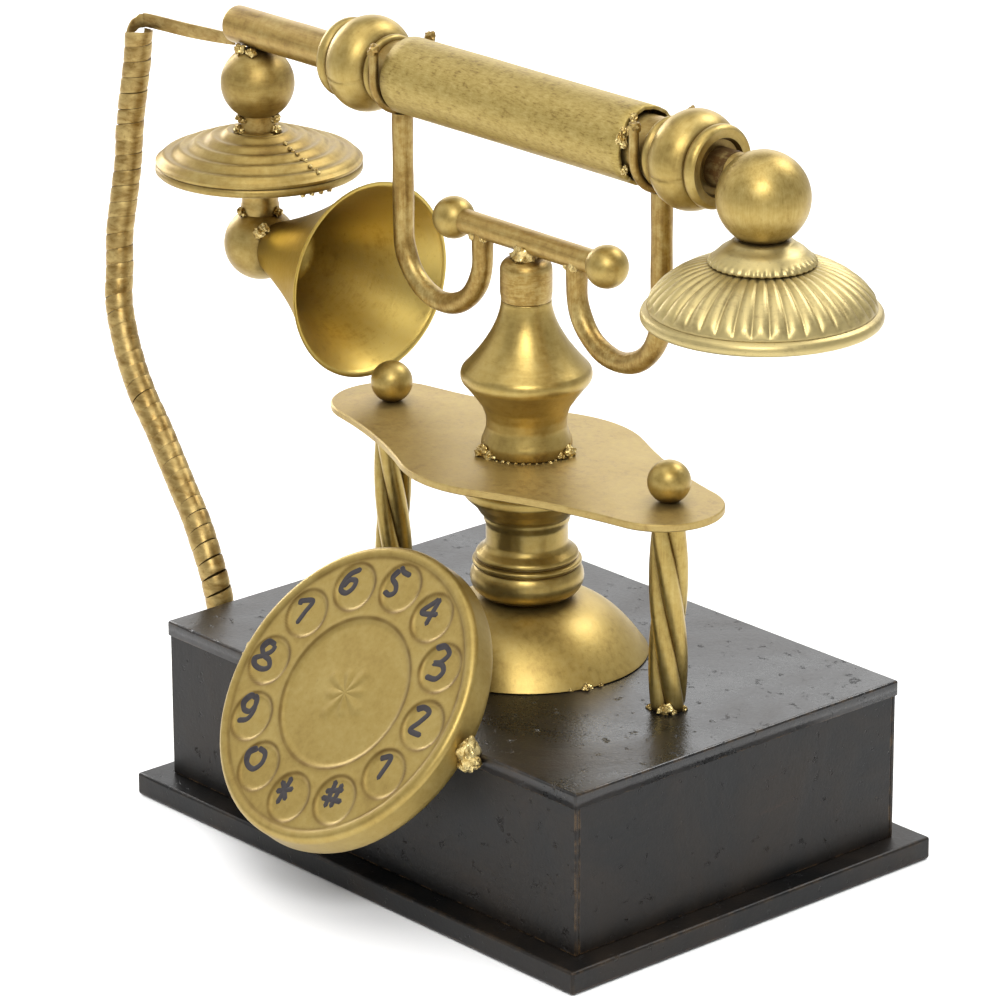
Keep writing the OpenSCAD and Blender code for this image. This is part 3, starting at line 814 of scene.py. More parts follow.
# Brush strokes of each number, in mm from the middle of its dish: right, then up the slope
STROKES = {
    "1": [[(-5.4, 4.1), (-1.3, 5.7), (-2.2, -2.4)]],
    "2": [[(-6.2, 4), (-3.5, 5.6), (-0.8, 4.6), (-2.5, 0.9), (-4.7, -2.7), (0.8, -3)]],
    "3": [[(-6, 5.4), (-2.9, 7.1), (-0.2, 5.4), (-1.7, 2.1), (-4.3, 0.9), (-0.7, 1.3), (1.2, -0.6),
           (-0.5, -3.6), (-5.1, -4)]],
    "4": [[(-1.5, 6.8), (-6, 0.7), (1.1, 1.8)], [(-1.4, 7.2), (-1.8, -3.1)]],
    "5": [[(-4.3, 6.9), (-2.9, 5.5), (0.8, 5.1)],
          [(-4.5, 5.7), (-6, 2.3), (-3.3, 0.6), (-2.2, -1.6), (-4, -3.2), (-6.8, -2.6)]],
    "6": [[(-1.7, 6.4), (-5.1, 3.5), (-6.2, 0.3), (-5.7, -2.5), (-3, -2.8), (-1.2, -0.5),
           (-1.5, 2), (-4.2, 1.6), (-5.5, -1.4)]],
    "7": [[(-5.5, 1.7), (-5.5, 3.2), (-1, 4.5), (-1.8, 0.2), (-2.9, -4.5)]],
    "8": [[(-1.5, 5.5), (-4.6, 5.7), (-6.2, 3), (-4.2, 1), (-1, 0.2), (0.5, -1.9), (-1.9, -3.4),
           (-5.7, -3.1), (-6.9, -0.9), (-4.2, 1), (-1.8, 3.2), (-1.5, 5.5)]],
    "9": [[(-3, 6.1), (-5.1, 6.1), (-6.7, 3.4), (-5.5, 1.2), (-2.6, 1.4), (-1.7, 4.3), (-2.8, 6.5),
           (-1.2, 2.2), (-2.1, -1.3), (-6, -3)]],
    "0": [[(-4.6, 5.5), (-1, 4.8), (-0.1, 1.5), (-2.4, -1.4), (-6.2, -0.5), (-7.2, 2.9),
           (-4.6, 5.5)]],
    "*": [[(-3.6, 6.6), (-4.3, -3.6)], [(-7.2, 0.2), (-0.6, 3.2)], [(-6.6, 4.2), (-1.4, -1.4)]],
    "#": [[(-4.1, 6.3), (-3.3, -3.4)], [(-1.1, 6.2), (-1, -2.7)], [(-6.5, 1.6), (0.8, 4.3)],
          [(-6.8, -0.7), (2.5, 0.6)]],
}


def numbers():
    """Each stroke is a low ridge of enamel that follows the face."""
    shape = Shape()
    stroke_r = 0.98
    for (cx, cy), mark in zip(CUPS, "1234567890*#"):
        for stroke in STROKES[mark]:
            line = smooth_path([Vector((cx + x, cy + y, 0)) for x, y in stroke], 12)
            length = path_length(line)
            rod = tube(line, lambda t: rounded_end(t, stroke_r, length), 16, 0.22,
                       start=Vector((0, 0, 1)).cross(line[1] - line[0]))
            shape.add([(v.x, v.y, v.z + face_height(v.x, v.y)) for v in rod.verts], rod.faces,
                      on_dial)
    return shape


numbers().piece("dial_numbers", M_INK, slot="black_case", sharp=80)

for side, node in ((-1, "dial_weld_left"), (1, "dial_weld_right")):
    weld = Shape()
    x, y, z = mid(node)
    blob((x, y - 0.6, z), (3.9, 3.8, 5.2), 11 + side, 0.25, 4, into=weld)
    blob((x + side * 1.4, y - 0.6, z + 4.0), (1.4, 1.5, 3.0), 15 + side, 0.15, 3, into=weld)
    blob((x + side * 3.0, y - 1.2, z - 1.2), (2.6, 2.2, 2.2), 19 + side, 0.22, 4, into=weld)
    blob((x - side * 1.2, y - 2.2, z - 3.4), (2.6, 1.8, 1.5), 24 + side, 0.25, 3, into=weld)
    weld.piece(node.replace("weld", "weld_lump"), M_BRAZE, node, slot="braze_gold", sharp=35)


# ---- Column, shelf and posts ----

SHELF_Z = hi("shelf_plate")[2]
SHELF_UNDER = lo("shelf_plate")[2]
FOOT_TOP = hi("dome_foot")[2]
FOOT_R = half("dome_foot", 0)


def dome_foot():
    rise = FOOT_TOP - CASE_TOP
    outer = [(FOOT_R - (FOOT_R - 12) * t, CASE_TOP + rise * (1 - (1 - t) ** 2.2))
             for t in (i / 28 for i in range(29))]
    profile = [(FOOT_R - 1.2, CASE_TOP + 0.02), (FOOT_R, CASE_TOP + 0.25)] + outer[1:]
    return lathe(soften(profile + [(0, FOOT_TOP)], 0.5), 128)


dome_foot().piece("dome", M_FOOT, "dome_foot")

bulge_r, bulge_z = 18.6, FOOT_TOP + 7
lower = [(0, FOOT_TOP), (12.5, FOOT_TOP), (12.5, FOOT_TOP + 0.6)]
lower += arc(bulge_r - 6.4, bulge_z, 6.4, -76, 38, 16)
lower += [(16.8, bulge_z + 4.2), (17.9, bulge_z + 4.8), (17.9, bulge_z + 6.2), (16, bulge_z + 6.8)]
lower += [(17, bulge_z + 7.4), (16.6, bulge_z + 8.6), (14.4, bulge_z + 10.4)]
lower += [(13.4, bulge_z + 12), (13.4, bulge_z + 18), (14.2, bulge_z + 20), (14.2, bulge_z + 21.4)]
lower += [(15.4, bulge_z + 22.4), (17, bulge_z + 25), (20.6, bulge_z + 28.4)]
lower += [(20.6, bulge_z + 31), (19, bulge_z + 33), (16, bulge_z + 34), (16, SHELF_UNDER)]
lower += [(0, SHELF_UNDER)]
lathe(soften(lower, 0.6), 128).piece("lower_turning", M_COLUMN, "lower_column")

CAP_Z = hi("upper_column")[2]
bell_z = SHELF_Z + 26
upper = [(0, SHELF_Z), (14.8, SHELF_Z), (14.8, SHELF_Z + 3.6), (14, SHELF_Z + 5.6)]
upper += [(13.1, SHELF_Z + 8.6), (13.2, SHELF_Z + 12), (14.3, SHELF_Z + 15.4), (17, SHELF_Z + 19.2)]
upper += arc(17.4, bell_z, 4, -50, 42, 12)
upper += [(8.2 + 12.2 * t ** 1.75, CAP_Z - (CAP_Z - bell_z - 2.6) * t)
          for t in (1 - i / 24 for i in range(1, 24))]
upper += [(8.2, CAP_Z), (0, CAP_Z)]
lathe(soften(upper, 0.8), 128).piece("upper_turning", M_COLUMN, "upper_column")

cap_r, cap_top = half("column_cap", 0), hi("column_cap")[2]
cap = [(0, CAP_Z - 0.2), (8.1, CAP_Z - 0.2), (cap_r - 0.2, CAP_Z + 1.4), (cap_r, CAP_Z + 2.6)]
cap += [(cap_r, cap_top - 5)] + arc(cap_r - 4, cap_top - 4, 4, 0, 80, 10) + [(0, cap_top)]
lathe(soften(cap, 0.5), 96).piece("cap_turning", M_CAP, "column_cap")


SHELF_TURN = -1.2


def shelf_outline():
    """Plan of the shelf: a middle lobe that runs in concave curves into two round ends."""
    mid_r, end_r, blend_r = half("shelf_plate", 1), 20.0, 200.0
    post_x = mid("twisted_post_right")[0]
    to_mid, to_end = mid_r + blend_r, end_r + blend_r
    bx = (post_x ** 2 + to_mid ** 2 - to_end ** 2) / (2 * post_x)
    by = math.sqrt(to_mid ** 2 - bx ** 2)
    meet = math.degrees(math.atan2(by, bx))
    leave = math.degrees(math.atan2(by, bx - post_x))
    quarter = arc(0, 0, mid_r, 90, meet, 10)
    quarter += arc(bx, by, blend_r, 180 + meet, 180 + leave, 16)
    quarter += arc(post_x, 0, end_r, leave, 0, 20)
    right = quarter + [(x, -y) for x, y in reversed(quarter[:-1])]
    plan = right + [(-x, y) for x, y in reversed(right[1:-1])]
    turn = Matrix.Rotation(math.radians(SHELF_TURN), 2)
    shift = Vector((0, mid("shelf_plate")[1]))
    return [turn @ Vector(p) + shift for p in plan]


def shelf_plate():
    outline = shelf_outline()
    n = len(outline)
    round_r = 0.4
    verts = []
    rings = [(round_r, SHELF_UNDER), (0, SHELF_UNDER + round_r), (0, SHELF_Z - round_r),
             (round_r, SHELF_Z)]
    for inset, z in rings:
        for i, (x, y) in enumerate(outline):
            edge = (outline[(i + 1) % n] - outline[i - 1]).normalized()
            verts.append((x + edge.y * inset, y - edge.x * inset, z))
    return Shape().add(verts, skin(len(rings), n, range(n)[::-1]))


shelf_plate().piece("shelf", M_SHELF, "shelf_plate", sharp=30)


def twisted_post(side):
    node = "twisted_post_" + ("left" if side < 0 else "right")
    x = mid(node)[0]
    low, high = lo(node)[2], hi(node)[2]
    seg, steps, turn = 64, 110, math.radians(200)
    core_r, lobe_r = 4.35, 1.95
    verts = []
    for i in range(steps + 1):
        t = i / steps
        end = min(t, 1 - t) * (high - low)
        for k in range(seg):
            a = TAU * k / seg
            r = core_r + lobe_r * abs(math.cos(2 * a)) ** 0.8 - 0.5 * max(0, 1 - end / 1.2)
            verts.append((*polar(r, a - turn * t, x), low + (high - low) * t))
    return Shape().add(verts, skin(steps + 1, seg)), node


# The twist's grooves get deep painted shade from ambient occlusion
M_POST = gold("gold_post", "along", patches=0.5, brush=0.5, rough=(0.26, 0.42),
              shade_reach_mm=4, recess_shade=0.95)
for side in (-1, 1):
    shape, node = twisted_post(side)
    shape.piece(node.replace("post", "bar"), M_POST, node, sharp=60)


def ball(centre, r, flat_low=None, axis="Z"):
    """A turned ball, which a small flat may cut below."""
    a0 = -90 if flat_low is None else math.degrees(math.asin(flat_low / r))
    points = arc(0, 0, r, a0, 90, 36)
    if flat_low is not None:
        points = [(0, flat_low)] + points
    return lathe(points, 72, place=at(*centre, axis))


BALL_R = half("post_ball_left", 0)
for side in ("left", "right"):
    node = "post_ball_" + side
    x, y, _ = mid(node)
    ball((x, y, hi(node)[2] - BALL_R), BALL_R, flat_low=-BALL_R + 0.4).piece(
        node + "_turning", M_PLAIN, node)


# ---- Cradle ----

BAR_Z = mid("crossbar")[2]
BAR_R = half("crossbar", 2)
bar_half = half("crossbar", 0)
tube([Vector((bar_half * (i / 20 - 1), 0, BAR_Z)) for i in range(41)], BAR_R, 32).piece(
    "crossbar_rod", M_ROD, "crossbar")
for side in (-1, 1):
    node = "crossbar_ball_" + ("left" if side < 0 else "right")
    edge_x = lo(node)[0] if side < 0 else hi(node)[0]
    end_ball = ball((edge_x - side * BALL_R, 0, BAR_Z), BALL_R, axis="X")
    end_ball.piece(node + "_turning", M_PLAIN, node)


def u_path(centre, r, ups, across, n=40):
    """Down one leg, round a half circle and up the other, as points. across is the direction from
    leg to leg."""
    first, second = ups
    points = [(-r, first * (1 - i / 6)) for i in range(6)]
    points += [polar(-r, math.pi * i / n) for i in range(n + 1)]
    points += [(r, second * i / 16) for i in range(1, 17)]
    return [Vector(centre) + Vector(across) * u + Vector((0, 0, rise)) for u, rise in points]


HOOK_R = half("cradle_hook_left", 1)
FORK_R = half("saddle_fork_left", 0)
hook_bend = (half("cradle_hook_left", 0) - HOOK_R)
for side in (-1, 1):
    name = "left" if side < 0 else "right"
    node = "cradle_hook_" + name
    x = mid(node)[0]
    bend_z = lo(node)[2] + HOOK_R + hook_bend
    path = u_path((x, 0, bend_z), hook_bend, (BAR_Z - bend_z, hi(node)[2] - bend_z), (side, 0, 0))
    hook = tube(path, lambda t: HOOK_R * (1 + 0.02 * math.sin(t * 40)), 28)
    hook.piece(node + "_rod", M_HOOK, node)
    fork = "saddle_fork_" + name
    fx = mid(fork)[0]
    arm_r = half(fork, 1) - FORK_R
    fork_z = lo(fork)[2] + FORK_R + arm_r
    up = hi(fork)[2] - FORK_R - fork_z
    path = u_path((fx, 0, fork_z), arm_r, (up, up), (0, 1, 0))
    shape = tube(path, FORK_R, 20, start=Vector((1, 0, 0)))
    for y in (-arm_r, arm_r):
        blob((fx, y, fork_z + up), (FORK_R * 1.3, FORK_R * 1.3, FORK_R * 1.25), 31 + side + y, 0.35,
             3, into=shape)
    shape.piece(fork + "_rod", M_HOOK, fork)

x, y, z = mid("cradle_stub")
stub_r = half("cradle_stub", 0)
stub = Shape()
bead_line([(x - 1 + i * 0.6, 0.4 * (-1) ** i, cap_top + 0.3 + i * 0.55) for i in range(4)],
          stub_r * 0.8, 41, stub, 0.35)
lathe(soften([(0, cap_top - 0.5), (stub_r, cap_top), (stub_r * 0.9, BAR_Z - BAR_R * 0.6),
              (0, BAR_Z)], 0.5), 32, into=stub)
stub.piece("cradle_weld", M_BRAZE, "cradle_stub", slot="braze_gold", sharp=35)


# ---- Handset ----

AXIS_Z = mid("core_rod")[2]
CORE_R = half("core_rod", 1)
ON_BAR = at(0, 0, AXIS_Z, "X")
core_left, core_right = lo("core_rod")[0], hi("core_rod")[0]
NOSE = 1.6  # roundness of the rod's left end
core = [(0, core_left)] + arc(CORE_R - NOSE, core_left + NOSE, NOSE, -90, 0, 6)
core += [(CORE_R, core_left + 2 + (core_right - core_left - 3) * i / 60) for i in range(1, 60)]
core += [(CORE_R, core_right), (0, core_right)]
lathe(core, 48, place=ON_BAR,
      shape_fn=lambda r, h, a: (r + 0.1 * waver(h * 0.06, a, 3) * (r > 5), h)).piece(
    "core_bar", M_ROD, "core_rod", "handset")

# Soot on the rod where it leaves the right collar
soot_a, soot_b, soot_r = hi("collar_right")[0] - 1.5, lo("mouth_ball")[0] + 3, CORE_R + 0.12
lathe([(CORE_R, soot_a), (soot_r, soot_a), (soot_r, soot_b), (CORE_R, soot_b)], 48, closed=True,
      place=ON_BAR).piece("core_bar_dark", M_SOOT, body="handset")

GRIP_R = half("grip_tube", 1)
grip_half = half("grip_tube", 0)
GRIP_WALL = 1.2


def grip_tube():
    """Open tube whose right end is torn and brazed."""
    inner = GRIP_R - GRIP_WALL
    profile = [(inner, -grip_half), (GRIP_R - 0.4, -grip_half), (GRIP_R, -grip_half + 0.4)]
    profile += [(GRIP_R, -grip_half + 2 * grip_half * i / 24) for i in range(1, 24)]
    profile += [(GRIP_R, grip_half - 0.4), (GRIP_R - 0.4, grip_half), (inner, grip_half)]

    def torn(r, h, a):
        if h > grip_half - 1:
            h -= 1.1 * max(0, noise.fractal(Vector((*polar(2.6, a), 5)), 1, 2, 4))
            r += 0.25 * waver(*polar(4, a), 1)
        return r + 0.06 * waver(h * 0.05, math.cos(a), math.sin(a)), h

    return lathe(profile, 160, closed=True, shape_fn=torn, place=ON_BAR)


grip_tube().piece("grip", M_GRIP, "grip_tube", "handset", sharp=50)

for side, name in ((-1, "left"), (1, "right")):
    node = "neck_sleeve_" + name
    a, b = sorted((lo(node)[0] * side, hi(node)[0] * side))
    profile = [(CORE_R, a), (11.5, a), (11.5, a + 5), (10, a + 5.2), (10, b), (CORE_R, b)]
    lathe(soften(profile, 0.4, closed=True), 64, closed=True,
          place=ON_BAR @ Matrix.Scale(side, 4, (0, 0, 1))).piece(
        node + "_turning", M_ROD, node, "handset")


def collar(node):
    """A round bead between two smaller rings, with its joint line."""
    x, h = mid(node)[0], half(node, 0)
    side = 1 if x > 0 else -1
    bead_r, ring_r, ring_w = half(node, 1), 11.6, 4
    bead = h - ring_w
    profile = [(CORE_R, -h), (9.6, -h)] + arc(10.2, -h + 1.5, 1.5, -90, 60, 6)
    profile += [(10.2, -bead - 0.3), (ring_r - 0.4, -bead)]
    profile += arc(bead_r - 9.5, 0, 9.5, -56, 52, 24)
    profile += [(11.2, bead - 0.4)] + arc(10.8, bead + 2.0, 2.6, -60, 62, 10)
    profile += [(10.6, h - 0.1), (9.4, h), (8.6, h - 1.6), (CORE_R, h - 1.8)]

    def seam(r, hh, a):
        if r < ring_r - 0.5 or abs(hh) > bead:
            return r, hh
        turn = (a + 1.35 + math.pi) % TAU - math.pi
        return r - 0.35 * math.exp(-(turn * r / 0.45) ** 2), hh

    return lathe(profile, 192, closed=True, shape_fn=seam,
                 place=at(x, 0, AXIS_Z, "X") @ Matrix.Scale(side, 4, (0, 0, 1)))


for name in ("left", "right"):
    node = "collar_" + name
    collar(node).piece(node + "_turning", M_HANDSET, node, "handset")

EAR_X = mid("ear_ball")[0]
EAR_BALL_R = half("ear_ball", 0)
EAR_BALL_Z = lo("ear_ball")[2] + EAR_BALL_R
HORN_Z = mid("horn")[2]
M_EAR = gold("gold_ear", "spun", (EAR_X, 0, 0), rough=(0.4, 0.52),
             mid_tone=linear(154, 130, 70), contrast=0.75)
ball((EAR_X, 0, EAR_BALL_Z), EAR_BALL_R).piece("ear_ball_turning", M_EAR, "ear_ball", "handset")

DISC_R = half("ear_disc_upper", 0)
DISC_Z = lo("ear_disc_upper")[2]
RISE = 11.5
NECK_R = 7.5


def disc_top(t):
    """Height of the pressed rings from the rim, t=0, to the neck, t=1."""
    ring = 0.55 * math.cos(TAU * 5 * t + math.pi) if 0.03 < t < 0.99 else -0.3
    return DISC_Z + 1.5 + (RISE - 1.5) * t ** 0.8 + ring


def ear_disc():
    n = 90
    wall = 1.2
    top = [(DISC_R - (DISC_R - NECK_R) * i / n, disc_top(i / n)) for i in range(n + 1)]
    rim = [(DISC_R - 1.2, DISC_Z), (DISC_R - 0.3, DISC_Z + 0.1), (DISC_R, DISC_Z + 0.5)]
    under = [(NECK_R + (DISC_R - NECK_R - 1.2) * i / 16,
              max(disc_top(1 - i / 16) - wall - 0.6, DISC_Z)) for i in range(17)]
    profile = rim + top + [(CORE_R, DISC_Z + RISE), (CORE_R, DISC_Z + RISE - wall)] + under

    def hand_made(r, h, a):
        wave = waver(*polar(1.3, a), r * 0.05)
        return r + 0.15 * wave * (r > 10), h + 0.25 * wave * (10 < r < DISC_R - 1)

    return lathe(profile, 160, closed=True, shape_fn=hand_made, place=at(EAR_X, 0, 0))


ear_disc().piece("ear_disc_rings", M_EAR, "ear_disc_upper", "handset", sharp=45)

low_z = lo("ear_disc_lower")[2]
drop = DISC_Z - low_z
lower_out = [(9 + (DISC_R - 9.6) * t, low_z + 0.6 * drop * t ** 1.6)
             for t in (i / 24 for i in range(25))]
lower_out += [(DISC_R, DISC_Z - 2.2), (DISC_R, DISC_Z - 0.6), (DISC_R - 0.5, DISC_Z - 0.1),
              (DISC_R - 1.4, DISC_Z - 0.1)]
lower_in = [(r - 0.6, h + 1.2) for r, h in lower_out[24::-1]]
lathe([(CORE_R, low_z)] + lower_out + lower_in + [(CORE_R, low_z + 1.2)], 128, closed=True,
      place=at(EAR_X, 0, 0)).piece(
    "ear_disc_underside", M_EAR, "ear_disc_lower", "handset", sharp=45)

rod_low, rod_high = lo("ear_rod")[2], hi("ear_rod")[2]
neck = [(0, rod_low), (CORE_R, rod_low)]
neck += [(CORE_R + 0.25 * math.sin(i * 1.3), rod_low + (rod_high - rod_low) * i / 24)
         for i in range(1, 24)]
neck += [(CORE_R, rod_high), (0, rod_high)]
lathe(neck, 48, place=at(EAR_X, 0, 0)).piece("ear_neck", M_ROD, "ear_rod", "handset")

horn_low, horn_high = lo("horn")[0], hi("horn")[0]
HORN_R = half("horn", 1)
# Painted shade reaches far into the horn's hollow, but weakly, by ambient occlusion
M_HORN = gold("gold_horn", "spun", (0, 0, HORN_Z), "X", patches=0.6, brush=0.25,
              rough=(0.32, 0.44), shade_reach_mm=25, recess_shade=0.3, wash=True,
              mid_tone=linear(192, 168, 92), contrast=0.5, coat=0)
# The outside is seen at a low angle, where bare metal would turn white
horn_shader = M_HORN.node_tree.nodes["Principled BSDF"]
horn_shader.inputs["Specular Tint"].default_value = linear(186, 166, 120)
ball((EAR_X, 0, HORN_Z), EAR_BALL_R).piece("horn_ball_turning", M_EAR, "horn_ball", "handset")


HORN_RINGS, HORN_SEG, HORN_STAIN = 48, 144, 0.55


def horn():
    n = HORN_RINGS
    length = horn_high - horn_low
    throat, wall = 9.0, 1.0

    def radius(t):
        return throat + (HORN_R - throat) * (0.72 * t + 0.28 * t ** 2.4)

    outer = [(radius(i / n), horn_low + length * i / n) for i in range(n)]
    rim = [(HORN_R - 0.15, horn_high - 0.5), (HORN_R, horn_high - 0.15),
           (HORN_R - 0.3, horn_high), (HORN_R - wall, horn_high - 0.1)]
    inner = [(radius(i / n) - wall, horn_low + length * i / n + 0.4) for i in range(n - 1, 5, -1)]
    back = [(radius(0.1) * 0.6, horn_low + 4.2), (0, horn_low + 4)]
    return lathe([(0, horn_low)] + outer + rim + inner + back, HORN_SEG,
                 place=at(0, 0, HORN_Z, "X"))


cone = horn().piece("horn_cone", M_HORN, "horn", "handset", sharp=45)
# The brown wash stays on the outside only: its points come first, ring by ring
set_wash(cone, [HORN_STAIN * (v.index <= HORN_RINGS * HORN_SEG) for v in cone.data.vertices])

MOUTH_X = mid("mouth_bell")[0]
BELL_R = half("mouth_bell", 0)
BELL_Z = lo("mouth_bell")[2]
M_MOUTH = gold("gold_mouth", "spun", (MOUTH_X, 0, 0), brush=0.3, shade_reach_mm=3,
               recess_shade=0.5, mid_tone=linear(184, 167, 114), contrast=0.7)
MOUTH_BALL_R = half("mouth_ball", 0)
mouth_ball_z = hi("mouth_ball")[2] - MOUTH_BALL_R
M_MOUTH_BALL = gold("gold_mouth_ball", "along", patches=0.4, brush=0.8)
ball((MOUTH_X, 0, mouth_ball_z), MOUTH_BALL_R,
     flat_low=lo("mouth_ball")[2] + 1.2 - mouth_ball_z).piece(
    "mouth_ball_turning", M_MOUTH_BALL, "mouth_ball", "handset")

FLUTES = 40


def bell_cap():
    z = lo("bell_cap")[2]
    r = half("bell_cap", 0)
    profile = [(0, z), (r - 0.4, z), (r, z + 0.5), (r - 0.6, z + 1.6), (r - 2.2, z + 3),
               (13, z + 4.6), (10.6, z + 6), (9, z + 7.6), (0, z + 7.6)]

    def scalloped(rr, h, a):
        return rr + 0.25 * math.cos(FLUTES * a) * (rr > r - 1), h

    return lathe(soften(profile, 1.0), 360, place=at(MOUTH_X, 0, 0), shape_fn=scalloped)


bell_cap().piece("bell_crown", M_MOUTH, "bell_cap", "handset")


def mouth_bell():
    """Domed shell with flutes that swell outwards, a groove and a rolled rim."""
    rim_h, top_h, wall = 4.6, hi("mouth_bell")[2] - BELL_Z, 1.3
    top_r, side_r = 12, BELL_R - 2
    n = 40
    rim = [(BELL_R - wall, 0), (BELL_R - 0.5, 0.3), (BELL_R, 1.2), (BELL_R, 2.4),
           (BELL_R - 0.5, 3.5), (BELL_R - 1.4, 4.1), (BELL_R - 2.1, 4.4)]

    def dome_at(u, base=rim_h, top=top_h):
        """Height at a share of the way out from the crown."""
        return base + (top - rim_h) * ((1 - u ** 1.9) ** 0.7 if u < 1 else 0.0)

    dome = [(top_r + (side_r - top_r) * u, dome_at(u))
            for u in (1 - (i / n) ** 1.3 for i in range(n + 1))]
    inner = [(top_r + (side_r - wall - top_r) * u, dome_at(u, rim_h - 0.4, top_h - wall))
             for u in ((i / n) ** 0.77 for i in range(n + 1))]
    profile = soften(rim, 0.5) + dome + [(0, top_h), (0, top_h - wall - 0.3)] + inner

    def fluted(r, h, a):
        share = (r - top_r) / (side_r - top_r)
        if not top_r + 0.2 <= r <= side_r or h < dome_at(share) - 0.6:
            return r, h
        swell = ease((side_r + 0.2 - r) / 1.4) * ease((r - 13.5) / 3)
        ridge = (abs(math.cos(FLUTES * a / 2)) ** 0.6 - 0.6) * (0.7 + 0.6 * share) * swell
        return r + ridge * 0.5, h + ridge * 0.8

    return lathe(profile, 600, shape_fn=fluted, place=at(MOUTH_X, 0, BELL_Z))


mouth_bell().piece("fluted_bell", M_MOUTH, "mouth_bell", "handset", sharp=60)


# ---- Braze and weld metal at the joints ----

FRONT = math.degrees(AZIMUTH) - 90  # the side of a joint that the braze shows on, about Z


def lump(centre, r, turn, size, seed, into, rough=0.5):
    """One folded lump on a ring about a vertical axis, with a smaller one run into it."""
    x, y, z = centre
    a = math.radians(turn)
    blob((*polar(r, a, x, y), z), (size, size, size * 0.85), seed, rough, 4, into=into)
    blob((*polar(r, a + 0.9 * size / r, x, y), z - size * 0.3),
         (size * 0.7, size * 0.7, size * 0.5), seed + 5, rough, 3, into=into)


def bead_ring(x, z, r, a0, a1, n, size, seed, into):
    """Small lumps along part of a ring, between two angles in degrees."""
    bead_line([(*p, z) for p in arc(x, 0, r, a0, a1, n - 1)], size, seed, into)


joints = Shape()
for turn, size in ((FRONT - 68, 3.0), (FRONT - 52, 1.5), (FRONT + 48, 1.5), (FRONT + 64, 2.8)):
    lump((0, 0, SHELF_Z + 1.2), 14.4, turn, size, 40 + size * turn, joints, 0.4)
bead_ring(0, SHELF_Z, 14.9, FRONT - 40, FRONT + 38, 10, 0.6, 57, joints)
post_x = mid("twisted_post_right")[0]
for x in (-post_x, post_x):
    lump((x, 0, CASE_TOP + 0.7), 5.4, FRONT - 8, 2.3, 61 + x, joints, 0.5)
    lump((x, 0, CASE_TOP + 0.3), 5.8, FRONT + 60, 1.2, 64 + x, joints, 0.5)
    lump((x, 0, CASE_TOP + 0.3), 5.8, FRONT - 80, 1.2, 66 + x, joints, 0.5)
    bead_ring(x, SHELF_UNDER - 0.4, 5.6, -60, 120, 6, 0.8, 71 + int(x), joints)
for turn, size in ((28, 1.6), (36, 0.9), (20, 0.7)):
    lump((0, 0, CASE_TOP + 0.3), FOOT_R - 0.6, FRONT + turn, size, 81 + turn, joints, 0.6)
for side, node in ((-1, "cradle_hook_left"), (1, "cradle_hook_right")):
    x = mid(node)[0] - side * hook_bend
    blob((x + side * 1.5, -BAR_R * 0.7, BAR_Z - BAR_R * 0.6), (1.8, 1.3, 1.8), 91 + side, 0.4, 3,
         into=joints)
    blob((x - side * 2.4, -BAR_R * 0.5, BAR_Z - BAR_R * 0.8), (1.5, 1.2, 1.3), 95 + side, 0.4, 3,
         into=joints)
joints.piece("cradle_brazes", M_BRAZE, slot="braze_gold", sharp=35)

hand = Shape()
for z, r, size in ((EAR_BALL_Z - EAR_BALL_R + 1.0, 6.2, 1.9), (DISC_Z + RISE + 0.2, 6.6, 2.0),
                   (low_z - 0.2, 6.4, 1.3), (HORN_Z + EAR_BALL_R - 0.8, 6.4, 1.9)):
    for turn in (FRONT - 66, FRONT + 62, FRONT + 170):
        lump((EAR_X, 0, z), r, turn, size, z + turn, hand, 0.45)
blob((EAR_X + 9.5, -6.5, HORN_Z + 7.5), (3, 2.4, 2.4), 101, 0.5, 4, into=hand)
blob((EAR_X - 2, -5.4, EAR_BALL_Z + EAR_BALL_R - 0.6), (2.6, 1.8, 1.8), 103, 0.4, 4, into=hand)
blob((EAR_X + 3.4, -5.0, EAR_BALL_Z + EAR_BALL_R - 0.8), (1.8, 1.6, 1.5), 104, 0.4, 3, into=hand)
for turn, size in ((200, 2.4), (212, 1.8), (238, 1.6), (150, 1.5)):
    a = math.radians(turn)
    blob((grip_half + 0.2, (GRIP_R - 0.8) * math.cos(a), AXIS_Z - (GRIP_R - 0.8) * math.sin(a)),
         (size * 0.7, size * 0.7, size), 107 + turn, 0.5, 4, into=hand)
for i in range(9):
    r = 15.5 + 2.15 * i
    z = disc_top((DISC_R - r) / (DISC_R - NECK_R)) + 0.15
    blob((EAR_X + r, -1.2 + 0.3 * math.sin(2 * i), z), (0.9, 0.75, 0.6), 113 + i, 0.3, 3, into=hand)
for i in range(4):
    a = math.radians(-14 + 6 * i)
    blob((*polar(DISC_R - 1.2, a, EAR_X), DISC_Z - 3.0), (0.9, 0.9, 0.9), 131 + i, 0.3, 3,
         into=hand)
hand.piece("handset_brazes", M_BRAZE, body="handset", slot="braze_gold", sharp=35)


# ---- Floor, world and lights ----

FLOOR_REACH = 6000
FLOOR_DROP = 0.3
FLOOR_TONE = (0.9, 0.9, 0.9, 1)
LAMP_AIM = Vector((0, 0, 0.12))


def make_stage():
    p = Paint("pale_floor")
    p.set(Base_Color=p.mix(p.noise(p.coords, 3, 2), FLOOR_TONE, FLOOR_TONE), Roughness=0.6)
    corners = [(x * FLOOR_REACH, y * FLOOR_REACH, -FLOOR_DROP)
               for x, y in ((-1, -1), (1, -1), (1, 1), (-1, 1))]
    new_piece("floor", corners, [(0, 1, 2, 3)], p.material, body=None)


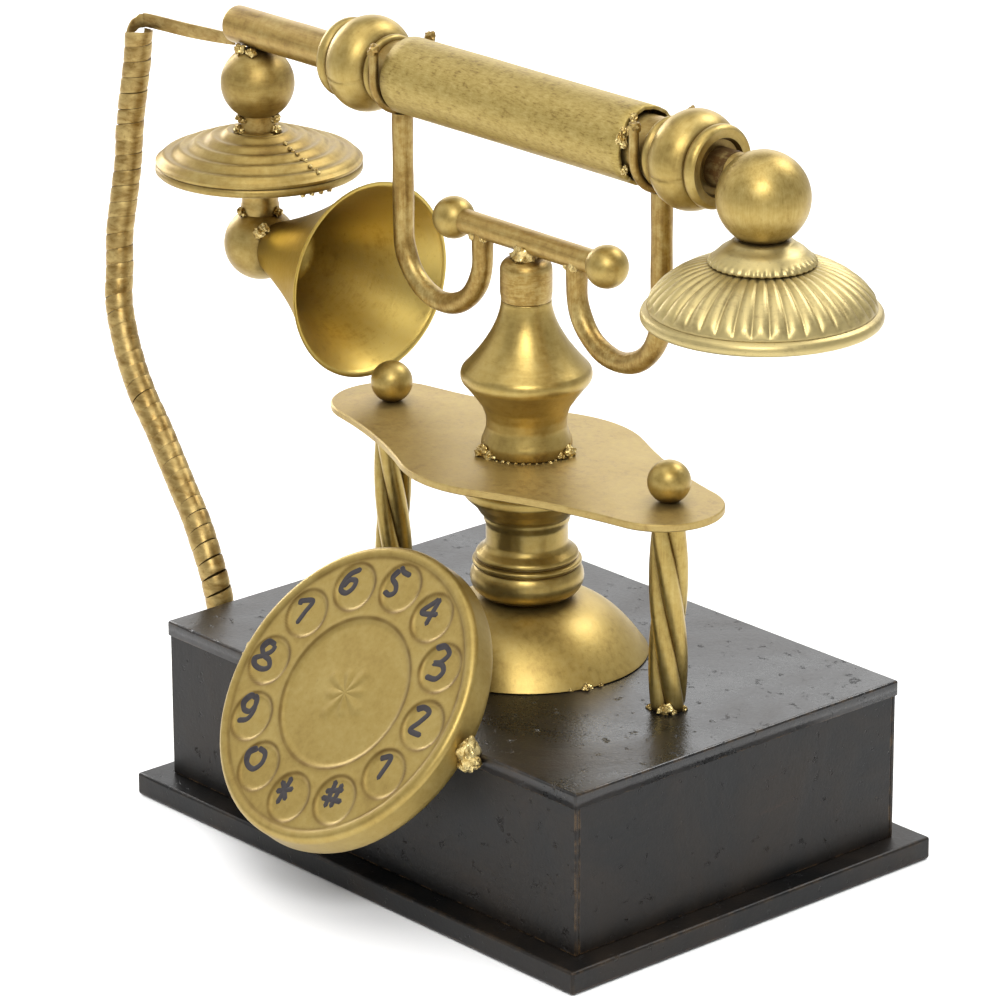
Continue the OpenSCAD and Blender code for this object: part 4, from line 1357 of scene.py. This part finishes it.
def area(name, toward, distance, size, power):
    """A soft panel lamp, at an azimuth and elevation in degrees as the camera's are counted."""
    azimuth, elevation = (math.radians(a) for a in toward)
    way = Vector((math.sin(azimuth) * math.cos(elevation),
                  -math.cos(azimuth) * math.cos(elevation), math.sin(elevation)))
    lamp = bpy.data.objects.new(name, bpy.data.lights.new(name, "AREA"))
    SCENE.collection.objects.link(lamp)
    lamp.data.shape = "RECTANGLE"
    lamp.data.size, lamp.data.size_y = size
    lamp.data.energy = power
    lamp.location = LAMP_AIM + way * distance
    lamp.rotation_euler = way.to_track_quat("Z", "Y").to_euler()


def make_world():
    world = bpy.data.worlds.new("studio")
    SCENE.world = world
    world.use_nodes = True
    tree = world.node_tree
    back = tree.nodes["Background"]
    rays = tree.nodes.new("ShaderNodeLightPath")
    where = tree.nodes.new("ShaderNodeTexCoord")
    parts = tree.nodes.new("ShaderNodeSeparateXYZ")
    sky = tree.nodes.new("ShaderNodeMapRange")
    for key, value in (("From Min", 0.05), ("From Max", 0.6), ("To Min", 0.66), ("To Max", 0.34)):
        sky.inputs[key].default_value = value
    level = tree.nodes.new("ShaderNodeMix")
    level.inputs["A"].default_value = 0.95
    tree.links.new(where.outputs["Generated"], parts.inputs[0])
    tree.links.new(parts.outputs["Z"], sky.inputs["Value"])
    tree.links.new(rays.outputs["Is Glossy Ray"], level.inputs["Factor"])
    tree.links.new(sky.outputs["Result"], level.inputs["B"])
    tree.links.new(level.outputs["Result"], back.inputs["Strength"])
    back.inputs["Color"].default_value = (1, 1, 1, 1)


make_stage()
make_world()
area("key_panel", (46, 42), 1.3, (0.5, 0.4), 8)
area("top_panel", (20, 80), 1.2, (1.1, 1.1), 6)
area("left_panel", (-98, 16), 1.3, (0.35, 0.6), 6.5)
area("front_panel", (-60, 36), 1.5, (1.2, 1.0), 3)
area("back_panel", (222, 24), 1.5, (1.4, 0.7), 6)
area("rear_top_panel", (172, 50), 1.3, (0.5, 0.5), 7)
SCENE.view_settings.view_transform = "Standard"
SCENE.view_settings.look = "None"
